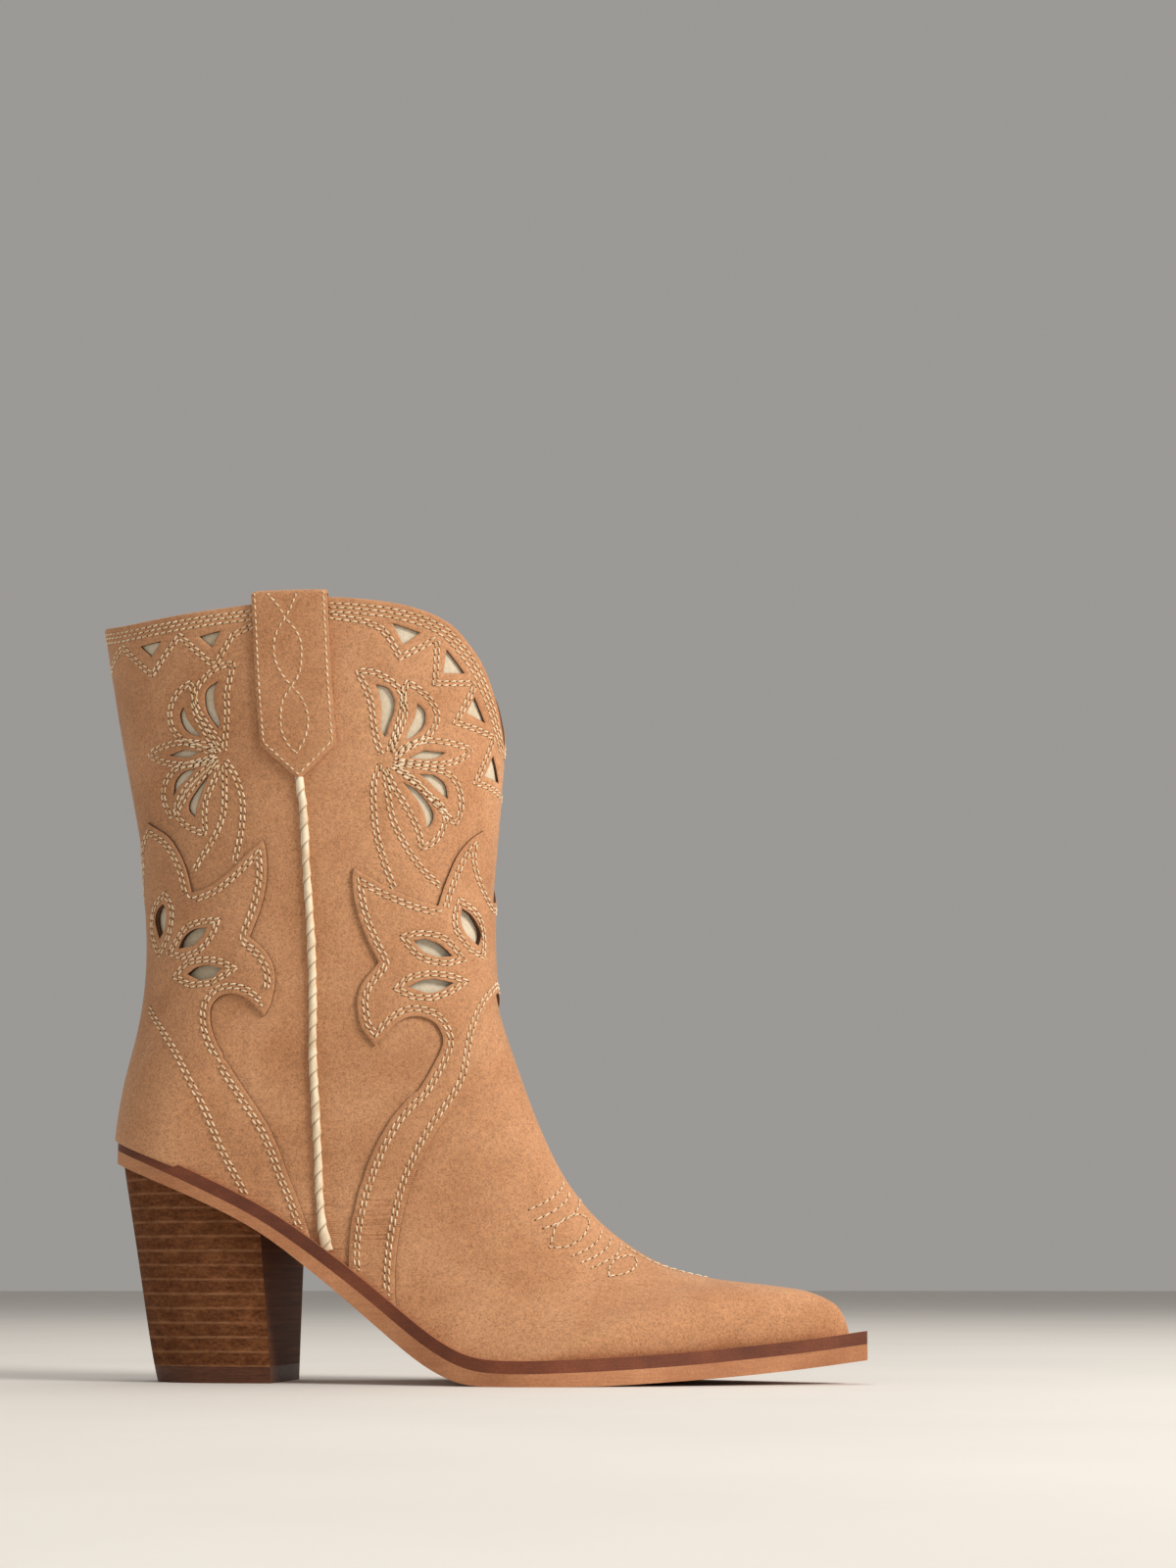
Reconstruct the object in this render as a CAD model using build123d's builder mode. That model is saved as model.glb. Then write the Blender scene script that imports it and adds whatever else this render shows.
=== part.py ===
from build123d import *
import math
import os

os.makedirs("parts", exist_ok=True)

# ---------------------------------------------------------------------------
# Cowboy boot, right foot. Millimetres, +Z up, +X to the toe, -Y is the
# outer (lateral) side. Origin: middle of the footprint box, on the ground.
# ---------------------------------------------------------------------------

# ---- driving dimensions
SHIFT_X = 0.39            # brings the bounding box centre to X = 0
LEATHER = 1.4             # outer leather of shaft and vamp
MIDDLE = 0.6              # inlay skin, counter, toe puff, interlining
LINING = 1.0              # pigskin lining
OVERLAY = 1.2             # wing and foxing overlays on top of the outer leather
STRAP_T = 1.6             # pull strap leather
STRAP_RISE = 2.2          # clearance of the strap over the top edge
STRAP_TOP = 274.2         # highest point of the boot
STRAP_IN_END = 236.0      # lower end of the strap's inner leg
PIPING_W = 3.2            # width of the side seam piping
PIPING_H = 1.6            # how far the piping stands proud
WELT_T = 4.2              # storm welt thickness
SOLE_T = 4.4              # outsole thickness
WELT_OUT = 3.5            # welt beyond the feather line
WELT_IN = 9.0             # welt hidden under the upper
BOARD_T = 2.0             # insole board
SOCK_T = 1.2              # sock liner
CUSHION_T = 2.0           # heel cushion under the sock liner
SHANK_T = 1.6
SHANK_W = 14.0
HEEL_TOP_PIECE = 5.6      # rubber top piece on the ground
LIFT_T = 4.87             # one leather lift of the stacked heel
LIFTS = 14
BREAST_X = -64.4          # flat front face of the heel
N_LOOP = 26               # points around each body section
TIP_RUNG = 27             # from here on the sections are hidden under the welt

# ---- last shape: one rung per row from the top of the shaft to the toe
# front x, front z, back x, back z, place of the widest point (0 front, 1
# back), half width lateral, half width medial, fullness front (y, s),
# fullness back (y, s)
RUNGS = [
    (15.8, 292, -141, 292, 0.5, 37, 37, 0.56, 0.55, 0.57, 0.56),
    (13.6, 262, -135.2, 262, 0.5, 36.7, 36.7, 0.56, 0.55, 0.57, 0.56),
    (11.7, 227, -128.5, 227, 0.5, 36.2, 36.2, 0.57, 0.55, 0.58, 0.56),
    (10.2, 203, -122.8, 200, 0.5, 35, 35, 0.58, 0.55, 0.6, 0.56),
    (8.6, 183, -118.9, 180, 0.51, 33.8, 33.8, 0.6, 0.55, 0.62, 0.56),
    (7.4, 166, -116.7, 163, 0.52, 32.7, 32.7, 0.62, 0.55, 0.64, 0.56),
    (7.3, 150, -115.9, 148, 0.53, 32, 32, 0.66, 0.55, 0.66, 0.56),
    (8.2, 137, -116.4, 135, 0.56, 31.6, 31.6, 0.7, 0.55, 0.66, 0.56),
    (10.6, 125, -118.6, 120, 0.62, 31.3, 31.3, 0.74, 0.56, 0.64, 0.56),
    (14.1, 114.5, -121.5, 107.5, 0.7, 30.9, 30.9, 0.76, 0.58, 0.62, 0.56),
    (19.4, 99.8, -123.6, 96, 0.77, 30.2, 30.2, 0.76, 0.6, 0.6, 0.56),
    (26, 83.6, -125, 83.5, 0.82, 29.2, 29.2, 0.74, 0.62, 0.58, 0.56),
    (33.6, 69.2, -124, 70, 0.84, 27.46, 27.41, 0.7, 0.62, 0.6, 0.58),
    (42.9, 57.2, -116, 58, 0.83, 27.94, 26.95, 0.66, 0.6, 0.64, 0.6),
    (53.2, 48.2, -101, 50, 0.82, 27.38, 25.15, 0.62, 0.58, 0.7, 0.62),
    (62.6, 42.2, -84, 42, 0.8, 27.42, 24.2, 0.6, 0.56, 0.76, 0.66),
    (72, 38.2, -64, 30, 0.78, 28.85, 24.23, 0.58, 0.55, 0.8, 0.7),
    (82.1, 35.6, -44, 15, 0.77, 32.4, 26.63, 0.57, 0.55, 0.82, 0.72),
    (87.6, 34.7, -20, 0, 0.76, 38.31, 33.03, 0.56, 0.55, 0.83, 0.72),
    (93.5, 34, -5, -5, 0.76, 41.08, 39.69, 0.56, 0.55, 0.84, 0.72),
    (99.8, 33.35, 9, -7.4, 0.76, 38.3, 41.17, 0.55, 0.55, 0.84, 0.72),
    (106, 32.6, 24, -8.2, 0.76, 33.63, 39.39, 0.55, 0.55, 0.84, 0.72),
    (112, 31.8, 38, -8.2, 0.76, 28.64, 35.06, 0.55, 0.55, 0.84, 0.72),
    (117.5, 30.6, 51, -7.7, 0.76, 23.86, 29.76, 0.55, 0.55, 0.84, 0.72),
    (124.6, 27.6, 62, -7, 0.77, 18.62, 23.27, 0.56, 0.56, 0.84, 0.72),
    (128.6, 23.4, 80, -5, 0.78, 12.75, 14.7, 0.6, 0.58, 0.84, 0.72),
    (130.6, 17.6, 92, -3, 0.8, 8.49, 8.65, 0.66, 0.6, 0.82, 0.7),
    (131, 11.5, 99, -1.5, 0.8, 7.64, 7.79, 0.72, 0.62, 0.8, 0.7),
    (130.2, 6, 103, -0.5, 0.78, 6.88, 7.01, 0.74, 0.62, 0.8, 0.7),
]

# ---- feather line (where the upper meets the welt) in the side view
FEATHER = [(-150, 94.3), (-125, 84.6), (-102.5, 76), (-84.7, 68.3), (-73.1, 62.8), (-61.9, 56.6), (-49.3, 48.2),
           (-36.3, 38.8), (-23.3, 29), (-10.3, 19.2), (-1.1, 13.4), (8.2, 9.6), (19, 8.4), (35.9, 8.6), (52.7, 9.3),
           (69.2, 10.3), (85.9, 11.6), (102.7, 13.3), (119.7, 15.2), (131.3, 16.8), (150, 19.4)]
# ---- feather line in plan: x, lateral half width, medial half width
PLAN = [(-123, 9, 9), (-120, 15, 15), (-113, 21, 21), (-103, 25.3, 25.3), (-91, 27.3, 27.3), (-78, 28, 27.7),
        (-64, 27.6, 26.6), (-50, 27, 24.7), (-36, 27.4, 23.7), (-22, 29.7, 24.5), (-8, 33.5, 27.5), (6, 37.7, 32),
        (18, 40.3, 36.5), (28, 40.8, 39.5), (38, 39.3, 40.7), (48, 36.5, 40.2), (60, 32.3, 38), (74, 26.7, 32.9),
        (88, 20.8, 26.1), (102, 15, 18.7), (112, 11, 12.8), (120, 7.9, 8.4), (126, 5.2, 5.4)]

# ---- side view outlines (x, z) of the pattern pieces
TOPLINE = [(-150, 268.4), (-135.3, 267.9), (-116.9, 265.8), (-103.0, 266.4), (-89.8, 267.3), (-73.2, 268.4),
           (-59.4, 269.5), (-46.2, 270.3), (-36.0, 269.8), (-24.9, 268.8), (-17.0, 267.3), (-10.5, 265.0), (-6.8, 263.1),
           (-3.1, 260.4), (1.6, 255.5), (4.4, 251.6), (7.2, 246.0), (9.3, 239.6), (10.4, 234.9), (11.2, 229.8),
           (12.4, 225.6), (20, 224)]
# the inner side dips a little lower at the front
MEDIAL_DIP = [(-44, 300), (-44, 270.6), (-36, 269.8), (-30, 268.8), (-24, 266.8), (-17, 263.2), (-10.5, 259.4),
              (-6.8, 256.6), (-3.1, 253.0), (1.6, 247.4), (4.4, 243.2), (7.2, 238.0), (9.3, 232.4), (10.4, 228.6),
              (11.6, 225.6), (16, 224), (40, 224), (40, 300)]
FRONT_WING = [(-36.0, 174.8), (-26.4, 169.1), (-16.7, 164.8), (-8.3, 162.2), (-5.8, 171.0), (-2.2, 180.3),
              (1.9, 186.4), (5.5, 190.0), (5.0, 188.1), (4.2, 180.6), (5.5, 172.4), (7.6, 166.2), (24, 166.2),
              (24, 133.1), (8.8, 133.1), (5.4, 122.2), (3.9, 109.8), (2.9, 103.0), (-6.2, 86.9), (-15.8, 67.6),
              (-19.7, 50.1), (-20.4, 36.3), (-19.4, 20), (-36.4, 20), (-36.5, 48.4), (-34.1, 62.3), (-27.2, 81.6),
              (-13.3, 99.4), (-7.7, 110.0), (-6.1, 114.5), (-6.5, 117.8), (-8.9, 121.7), (-13.7, 123.7),
              (-18.0, 123.2), (-22.3, 120.4), (-28.4, 113.7), (-30.8, 116.4), (-33.5, 121.4), (-34.4, 129.8),
              (-32.2, 135.9), (-27.4, 142.1), (-31.2, 149.9), (-34.6, 158.8), (-36.3, 169.0)]
HEEL_FOXING = [(-132, 194.3), (-112.9, 194.3), (-104.7, 189.0), (-100.2, 183.8), (-96.5, 176.7), (-94.0, 167.8),
               (-86.9, 169.7), (-79.6, 174.6), (-71.8, 181.5), (-67.5, 185.1), (-66.3, 180.3), (-66.0, 171.5),
               (-67.9, 162.2), (-72.1, 151.4), (-67.7, 147.6), (-63.9, 142.4), (-62.7, 136.1), (-64.2, 128.4),
               (-66.5, 124.1), (-70.0, 127.5), (-73.9, 130.6), (-78.3, 131.8), (-82.7, 130.9), (-85.6, 127.3),
               (-85.7, 122.6), (-83.7, 116.4), (-77.7, 105.7), (-69.7, 94.2), (-63.2, 83.3), (-58.2, 70.0),
               (-53.3, 58.6), (-49.0, 44.0), (-132, 44.0)]
STRAP = [(-73.0, STRAP_TOP), (-45.8, STRAP_TOP), (-41.9, 218.8), (-54.8, 205.4), (-68.5, 217.7)]
SEAM = [(-60.4, 292), (-56.9, 232), (-54.7, 205.1), (-53.6, 197.2), (-52.9, 187.0), (-52.2, 173.4), (-51.1, 159.9),
        (-50.3, 146.3), (-49.6, 122.8), (-49.4, 110.1), (-49.0, 97.2), (-48.3, 84.5), (-47.8, 71.9), (-46.9, 59.2),
        (-44.6, 45.3), (-42.0, 30.0)]
# hidden seam of vamp and front shaft panel, under the middle of the band
VAMP_SEAM = [(26, 149), (6.0, 149), (2.0, 140), (-0.2, 124), (-1.6, 112), (-6.6, 99.5), (-17.5, 82), (-26.0, 63.5),
             (-29.0, 48.5), (-28.6, 30), (-28.4, 15)]


# ---------------------------------------------------------------------------
# geometry helpers
# ---------------------------------------------------------------------------
def bezier(t, a, b, c, d):
    return (1 - t) ** 3 * a + 3 * t * (1 - t) ** 2 * b + 3 * t * t * (1 - t) * c + t ** 3 * d


def rung_point(row, u):
    """u runs 0 (front) to 2 (back); positive is the lateral side."""
    fx, fz, bx, bz, sm, wl, wm, hf, kf, hb, kb = row
    a = abs(u)
    if a <= 1:
        s, y = bezier(a, 0, 0, sm * (1 - kf), sm), bezier(a, 0, hf, 1, 1)
    else:
        s, y = bezier(a - 1, sm, sm + (1 - sm) * kb, 1, 1), bezier(a - 1, 1, 1, hb, 0)
    y *= -wl if u >= 0 else wm
    return (fx + (bx - fx) * s, y, fz + (bz - fz) * s)


def sub(a, b):
    return (a[0] - b[0], a[1] - b[1], a[2] - b[2])


def dot(a, b):
    return a[0] * b[0] + a[1] * b[1] + a[2] * b[2]


def cross(a, b):
    return (a[1] * b[2] - a[2] * b[1], a[2] * b[0] - a[0] * b[2], a[0] * b[1] - a[1] * b[0])


def unit(a):
    n = math.sqrt(dot(a, a))
    return (a[0] / n, a[1] / n, a[2] / n)


def rung_loop(i, inset):
    """Section plane of rung i and its closed loop, moved inward by inset."""
    row = RUNGS[i]
    f, b = (row[0], 0, row[1]), (row[2], 0, row[3])
    along = unit(sub(b, f))
    normal = unit(cross(along, (0, 1, 0)))
    low, high = RUNGS[max(i - 1, 0)], RUNGS[min(i + 1, len(RUNGS) - 1)]
    loop = []
    for k in range(N_LOOP):
        # evenly spread, starting at the back seam
        u = 2 - 4 * k / N_LOOP
        p = rung_point(row, u)
        du = 0.02
        ua, ub = u + du, u - du
        ua = ua - 4 if ua > 2 else ua
        tangent_u = sub(rung_point(row, ub), rung_point(row, ua))
        tangent_v = sub(rung_point(high, u), rung_point(low, u))
        n = unit(cross(tangent_u, tangent_v))
        inner = sub((f[0] * 0.5 + b[0] * 0.5, 0, f[2] * 0.5 + b[2] * 0.5), p)
        if dot(n, inner) < 0:
            n = (-n[0], -n[1], -n[2])
        flat = sub(n, tuple(dot(n, normal) * c for c in normal))
        size = math.sqrt(dot(flat, flat))
        step = inset / max(size, 0.45)
        flat = unit(flat)
        q = (p[0] + flat[0] * step, p[1] + flat[1] * step, p[2] + flat[2] * step)
        if i >= TIP_RUNG:
            # the narrow toe sections under the welt shrink towards their centre
            share = inset / min(row[5], row[6])
            q = (p[0] + inner[0] * share, p[1] + inner[1] * share, p[2] + inner[2] * share)
        d = sub(q, f)
        loop.append((dot(d, along), d[1]))
    # local x along the rung, local y = +Y
    return Plane(origin=(f[0] + SHIFT_X, 0, f[2]), x_dir=along, z_dir=normal), loop


def even_parameters():
    """One set of curve parameters for every rung, so that the lofts share their knots."""
    steps = [0.0] * N_LOOP
    for i in range(0, len(RUNGS), 4):
        loop = rung_loop(i, 0)[1]
        sides = [math.dist(loop[k], loop[(k + 1) % N_LOOP]) for k in range(N_LOOP)]
        steps = [s + side / sum(sides) for s, side in zip(steps, sides)]
    total = [0.0]
    for s in steps:
        total.append(total[-1] + s / sum(steps))
    return total


def body(inset, first=0, last=len(RUNGS)):
    """Closed solid of the boot's body, inset from the outer leather face."""
    parameters = even_parameters()
    with BuildPart() as shape:
        for i in range(first, last):
            plane, loop = rung_loop(i, inset)
            with BuildSketch(plane):
                with BuildLine():
                    add(Edge.make_spline(loop, periodic=True, parameters=parameters))
                make_face()
        loft()
    return shape.part


def shifted(points):
    return [(x + SHIFT_X, z) for x, z in points]


def side_prism(points, y_from=-60.0, y_to=60.0, smooth=None):
    """Prism along Y over a side-view outline; smooth = a spline edge list."""
    with BuildPart() as prism:
        with BuildSketch(Plane.XZ.offset(-y_to)):
            with BuildLine():
                if smooth:
                    curve = Spline(*shifted(smooth))
                    rest = shifted(points)
                    Polyline(curve @ 1, *rest, curve @ 0)
                else:
                    Polyline(*shifted(points), close=True)
            make_face()
        extrude(amount=y_to - y_from)
    return prism.part


def feather_z(x):
    pts = FEATHER
    for (x0, z0), (x1, z1) in zip(pts, pts[1:]):
        if x0 <= x <= x1:
            return z0 + (z1 - z0) * (x - x0) / (x1 - x0)
    raise ValueError(x)


def below(distance):
    """The feather line moved down along its normal."""
    out = []
    for k, (x, z) in enumerate(FEATHER):
        a, b = FEATHER[max(k - 1, 0)], FEATHER[min(k + 1, len(FEATHER) - 1)]
        t = math.hypot(b[0] - a[0], b[1] - a[1])
        out.append((x + (b[1] - a[1]) / t * distance, z - (b[0] - a[0]) / t * distance))
    return out


# underside of the outsole: tread flat on the ground at the ball, toe spring
TREAD = [(-150, 84.0), (-123.8, 75), (-102.3, 67.0), (-84.5, 59.6), (-67.1, 50.6), (-51.7, 39.6), (-39.6, 30.2),
         (-20.3, 14.8), (-2.8, 3.5), (6.5, 0.55), (17.0, 0.02), (40.0, 0.02), (54.0, 0.35), (69.2, 1.2), (85.8, 2.3),
         (102.6, 3.8), (119.5, 5.7), (137, 8.0), (150, 9.6)]
JOINT_LINE = [(x, z) for x, z in below(WELT_T)]


def layer(top, bottom):
    """Band between two side-view curves, right across the boot."""
    with BuildPart() as band:
        with BuildSketch(Plane.XZ.offset(-60)):
            with BuildLine():
                upper = Spline(*shifted(top))
                lower = Spline(*shifted(bottom))
                Line(upper @ 0, lower @ 0)
                Line(upper @ 1, lower @ 1)
            make_face()
        extrude(amount=120)
    return band.part


def plan_prism(lateral, medial, back_x, tip_x, tip_half, tip_angle, z0=-5.0, z1=120.0):
    """Vertical prism over a plan outline given by its two long sides."""
    with BuildPart() as prism:
        with BuildSketch(Plane.XY.offset(z0)):
            with BuildLine():
                left = [(back_x, 0)] + lateral + [(tip_x, -tip_half)]
                right = [(back_x, 0)] + medial + [(tip_x, tip_half)]
                c, s = math.cos(tip_angle), math.sin(tip_angle)
                a = Spline(*shifted(left), tangents=[(0, -1), (c, s)])
                b = Spline(*shifted(right), tangents=[(0, 1), (c, -s)])
                Line(a @ 1, b @ 1)
            make_face()
        extrude(amount=z1 - z0)
    return prism.part


def plan_side(index, sign, outset, back_outset, x_from=-200.0, x_to=200.0):
    """One long side of the feather line in plan, moved outward."""
    pts = [(r[0], r[index]) for r in PLAN]
    out = []
    for k, (x, y) in enumerate(pts):
        if not x_from <= x <= x_to:
            continue
        a, b = pts[max(k - 1, 0)], pts[min(k + 1, len(pts) - 1)]
        t = math.hypot(b[0] - a[0], b[1] - a[1])
        share = min(1.0, max(0.0, (x + 125) / 50.0))
        d = back_outset + (outset - back_outset) * share
        out.append((x - (b[1] - a[1]) / t * d, (y + (b[0] - a[0]) / t * d) * sign))
    return out


# ---------------------------------------------------------------------------
# master bodies
# ---------------------------------------------------------------------------
body_overlay = body(-OVERLAY)
body_outer = body(0)
body_mid = body(LEATHER)
body_lining = body(LEATHER + MIDDLE)
body_inner = body(LEATHER + MIDDLE + LINING)

# everything of the upper lies above the feather line and below the top line
with BuildPart() as upper_zone:
    with BuildSketch(Plane.XZ.offset(-60)):
        with BuildLine():
            low_edge = Spline(*shifted(FEATHER))
            top_edge = Spline(*shifted(TOPLINE))
            Polyline(low_edge @ 0, (-150 + SHIFT_X, 268.4))
            Polyline(top_edge @ 1, (150 + SHIFT_X, 224), low_edge @ 1)
        make_face()
    extrude(amount=120)
    add(side_prism(MEDIAL_DIP, y_from=0, y_to=60), mode=Mode.SUBTRACT)
zone = upper_zone.part

with BuildPart() as seam_front:
    with BuildSketch(Plane.XZ.offset(-60)):
        with BuildLine():
            seam_curve = Spline(*shifted(SEAM))
            Polyline(seam_curve @ 1, (-40.0, -20), (170, -20), (170, 300), (-60.9, 300), seam_curve @ 0)
        make_face()
    extrude(amount=120)
with BuildPart() as vamp_zone:
    with BuildSketch(Plane.XZ.offset(-60)):
        with BuildLine():
            vamp_curve = Spline(*shifted(VAMP_SEAM))
            Polyline(vamp_curve @ 1, (-28.4, -20), (170, -20), (170, 149), vamp_curve @ 0)
        make_face()
    extrude(amount=120)

# ---------------------------------------------------------------------------
# upper: outer leather
# ---------------------------------------------------------------------------
with BuildPart() as vamp:
    add(body_outer)
    add(zone, mode=Mode.INTERSECT)
    add(vamp_zone.part, mode=Mode.INTERSECT)
    add(body_mid, mode=Mode.SUBTRACT)

with BuildPart() as front_shaft_panel:
    add(body_outer)
    add(zone, mode=Mode.INTERSECT)
    add(seam_front.part, mode=Mode.INTERSECT)
    add(vamp_zone.part, mode=Mode.SUBTRACT)
    add(body_mid, mode=Mode.SUBTRACT)

with BuildPart() as back_shaft_panel:
    add(body_outer)
    add(zone, mode=Mode.INTERSECT)
    add(seam_front.part, mode=Mode.SUBTRACT)
    add(body_mid, mode=Mode.SUBTRACT)

# overlays: stitched on top of the outer leather
with BuildPart() as front_wing_overlay:
    add(body_overlay)
    add(zone, mode=Mode.INTERSECT)
    add(side_prism(FRONT_WING), mode=Mode.INTERSECT)
    add(body_outer, mode=Mode.SUBTRACT)

with BuildPart() as heel_foxing_overlay:
    add(body_overlay)
    add(zone, mode=Mode.INTERSECT)
    add(side_prism(HEEL_FOXING), mode=Mode.INTERSECT)
    add(body_outer, mode=Mode.SUBTRACT)

# ---------------------------------------------------------------------------
# upper: middle layer (inlay skin behind the cut-outs, stiffeners)
# ---------------------------------------------------------------------------
COUNTER_FRONT = [(-160, 128), (-112, 128), (-84, 108), (-58, 78), (-44, 52), (-34, 30), (-160, 30)]
PUFF_BACK = [(78, 60), (92, 40), (96, 20), (90, -20), (170, -20), (170, 60)]
INLAY_LOW = 112.0

with BuildPart() as front_inlay:
    add(body_mid)
    add(zone, mode=Mode.INTERSECT)
    add(seam_front.part, mode=Mode.INTERSECT)
    add(side_prism([(-150, INLAY_LOW), (170, INLAY_LOW), (170, 300), (-150, 300)]), mode=Mode.INTERSECT)
    add(body_lining, mode=Mode.SUBTRACT)

with BuildPart() as back_inlay:
    add(body_mid)
    add(zone, mode=Mode.INTERSECT)
    add(seam_front.part, mode=Mode.SUBTRACT)
    add(side_prism([(-170, 136.0), (170, 136.0), (170, 300), (-170, 300)]), mode=Mode.INTERSECT)
    add(body_lining, mode=Mode.SUBTRACT)

with BuildPart() as heel_counter:
    add(body_mid)
    add(zone, mode=Mode.INTERSECT)
    add(side_prism(COUNTER_FRONT), mode=Mode.INTERSECT)
    add(body_lining, mode=Mode.SUBTRACT)

with BuildPart() as toe_puff:
    add(body_mid)
    add(zone, mode=Mode.INTERSECT)
    add(side_prism(PUFF_BACK), mode=Mode.INTERSECT)
    add(body_lining, mode=Mode.SUBTRACT)

with BuildPart() as vamp_interlining:
    add(body_mid)
    add(zone, mode=Mode.INTERSECT)
    add(side_prism([(-170, -20), (170, -20), (170, INLAY_LOW), (-170, INLAY_LOW)]), mode=Mode.INTERSECT)
    add(side_prism(PUFF_BACK), mode=Mode.SUBTRACT)
    add(side_prism([(-170, -20), (-34, -20), (-34, 30), (-44, 52), (-58, 78), (-84, 108), (-88, 112), (-88, 150),
                    (-170, 150)]), mode=Mode.SUBTRACT)
    add(body_lining, mode=Mode.SUBTRACT)

# ---------------------------------------------------------------------------
# upper: lining
# ---------------------------------------------------------------------------
VAMP_LINING_LINE = [(-36, -20), (170, -20), (170, 96), (22, 96), (-14, 84), (-30, 60), (-36, 40)]
with BuildPart() as vamp_lining:
    add(body_lining)
    add(zone, mode=Mode.INTERSECT)
    add(side_prism(VAMP_LINING_LINE), mode=Mode.INTERSECT)
    add(body_inner, mode=Mode.SUBTRACT)

with BuildPart() as shaft_lining_front:
    add(body_lining)
    add(zone, mode=Mode.INTERSECT)
    add(seam_front.part, mode=Mode.INTERSECT)
    add(side_prism(VAMP_LINING_LINE), mode=Mode.SUBTRACT)
    add(body_inner, mode=Mode.SUBTRACT)

with BuildPart() as shaft_lining_back:
    add(body_lining)
    add(zone, mode=Mode.INTERSECT)
    add(seam_front.part, mode=Mode.SUBTRACT)
    add(side_prism(VAMP_LINING_LINE), mode=Mode.SUBTRACT)
    add(body_inner, mode=Mode.SUBTRACT)

# ---------------------------------------------------------------------------
# pull straps: one leather loop over the top edge on each side
# ---------------------------------------------------------------------------
body_strap_out = body(-STRAP_T, 0, 8)
body_strap_in = body(LEATHER + MIDDLE + LINING + STRAP_T, 0, 8)
strap_prism_lat = side_prism(STRAP, y_from=-60, y_to=-8)
strap_prism_med = side_prism(STRAP, y_from=8, y_to=60)
wall_top = [(x, z + STRAP_RISE) for x, z in TOPLINE]
with BuildPart() as wall_zone:
    with BuildSketch(Plane.XZ.offset(-60)):
        with BuildLine():
            wall_edge = Spline(*shifted(wall_top))
            Polyline(wall_edge @ 1, (150, -20), (-180, -20), wall_edge @ 0)
        make_face()
    extrude(amount=120)
with BuildPart() as wall_block:
    add(body_outer)
    add(body_inner, mode=Mode.SUBTRACT)
    add(wall_zone.part, mode=Mode.INTERSECT)
with BuildPart() as inner_low:
    add(body_outer)
    add(side_prism([(-100, 150), (0, 150), (0, STRAP_IN_END), (-100, STRAP_IN_END)]), mode=Mode.INTERSECT)

with BuildPart() as pull_strap_lateral:
    add(body_strap_out)
    add(strap_prism_lat, mode=Mode.INTERSECT)
    add(body_strap_in, mode=Mode.SUBTRACT)
    add(wall_block.part, mode=Mode.SUBTRACT)
    add(inner_low.part, mode=Mode.SUBTRACT)

with BuildPart() as pull_strap_medial:
    add(body_strap_out)
    add(strap_prism_med, mode=Mode.INTERSECT)
    add(body_strap_in, mode=Mode.SUBTRACT)
    add(wall_block.part, mode=Mode.SUBTRACT)
    add(inner_low.part, mode=Mode.SUBTRACT)

# ---------------------------------------------------------------------------
# side seam piping, from the strap point down to the welt
# ---------------------------------------------------------------------------
PIPE_LINE = [(-54.7, 204.0), (-53.6, 197.2), (-52.9, 187.0), (-52.2, 173.4), (-51.1, 159.9), (-50.3, 146.3),
             (-49.6, 122.8), (-49.4, 110.1), (-49.0, 97.2), (-48.3, 84.5), (-47.8, 71.9), (-46.9, 59.2),
             (-44.6, 45.3), (-42.6, 34.0)]
pipe_region = ([(x - PIPING_W / 2, z) for x, z in PIPE_LINE] +
               [(x + PIPING_W / 2, z) for x, z in reversed(PIPE_LINE)])
body_pipe = body(-PIPING_H)
with BuildPart() as side_piping_lateral:
    add(body_pipe)
    add(zone, mode=Mode.INTERSECT)
    add(side_prism(pipe_region, y_from=-60, y_to=-8), mode=Mode.INTERSECT)
    add(body_outer, mode=Mode.SUBTRACT)
    add(pull_strap_lateral.part, mode=Mode.SUBTRACT)

with BuildPart() as side_piping_medial:
    add(body_pipe)
    add(zone, mode=Mode.INTERSECT)
    add(side_prism(pipe_region, y_from=8, y_to=60), mode=Mode.INTERSECT)
    add(body_outer, mode=Mode.SUBTRACT)
    add(pull_strap_medial.part, mode=Mode.SUBTRACT)

# ---------------------------------------------------------------------------
# bottom: welt, outsole, filler, shank, insole board, sock liner
# ---------------------------------------------------------------------------
plan_outer = plan_prism(plan_side(1, -1, WELT_OUT, 0.8), plan_side(2, 1, WELT_OUT, 0.8), -125.4, 136.8, 4.6, 0.36)
plan_cavity = plan_prism([(r[0], -(r[1] - WELT_IN)) for r in PLAN if -114 < r[0] < 105],
                         [(r[0], r[2] - WELT_IN) for r in PLAN if -114 < r[0] < 105],
                         -117.0, 110.0, 2.5, 0.45)
welt_band = layer(FEATHER, JOINT_LINE)
outsole_band = layer(JOINT_LINE, TREAD)

with BuildPart() as welt:
    add(plan_outer)
    add(welt_band, mode=Mode.INTERSECT)
    add(plan_cavity, mode=Mode.SUBTRACT)

with BuildPart() as outsole:
    add(plan_outer)
    add(outsole_band, mode=Mode.INTERSECT)

# steel shank under the insole board, in a slot of the filler
with BuildPart() as shank_slot:
    add(layer(FEATHER, below(SHANK_T)))
    with BuildSketch(Plane.XY.offset(-5)):
        with Locations((-52, 0)):
            RectangleRounded(104, SHANK_W, 6.5)
    extrude(amount=120, mode=Mode.INTERSECT)
shank_body = shank_slot.part


def sole_frame(x):
    """Plane on the feather line at x, its normal pointing up out of the sole."""
    h = 1.0
    dx, dz = 2 * h, feather_z(x + h) - feather_z(x - h)
    n = math.hypot(dx, dz)
    return Plane(origin=(x + SHIFT_X, 0, feather_z(x)), x_dir=(dx / n, 0, dz / n), z_dir=(-dz / n, 0, dx / n))


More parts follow.
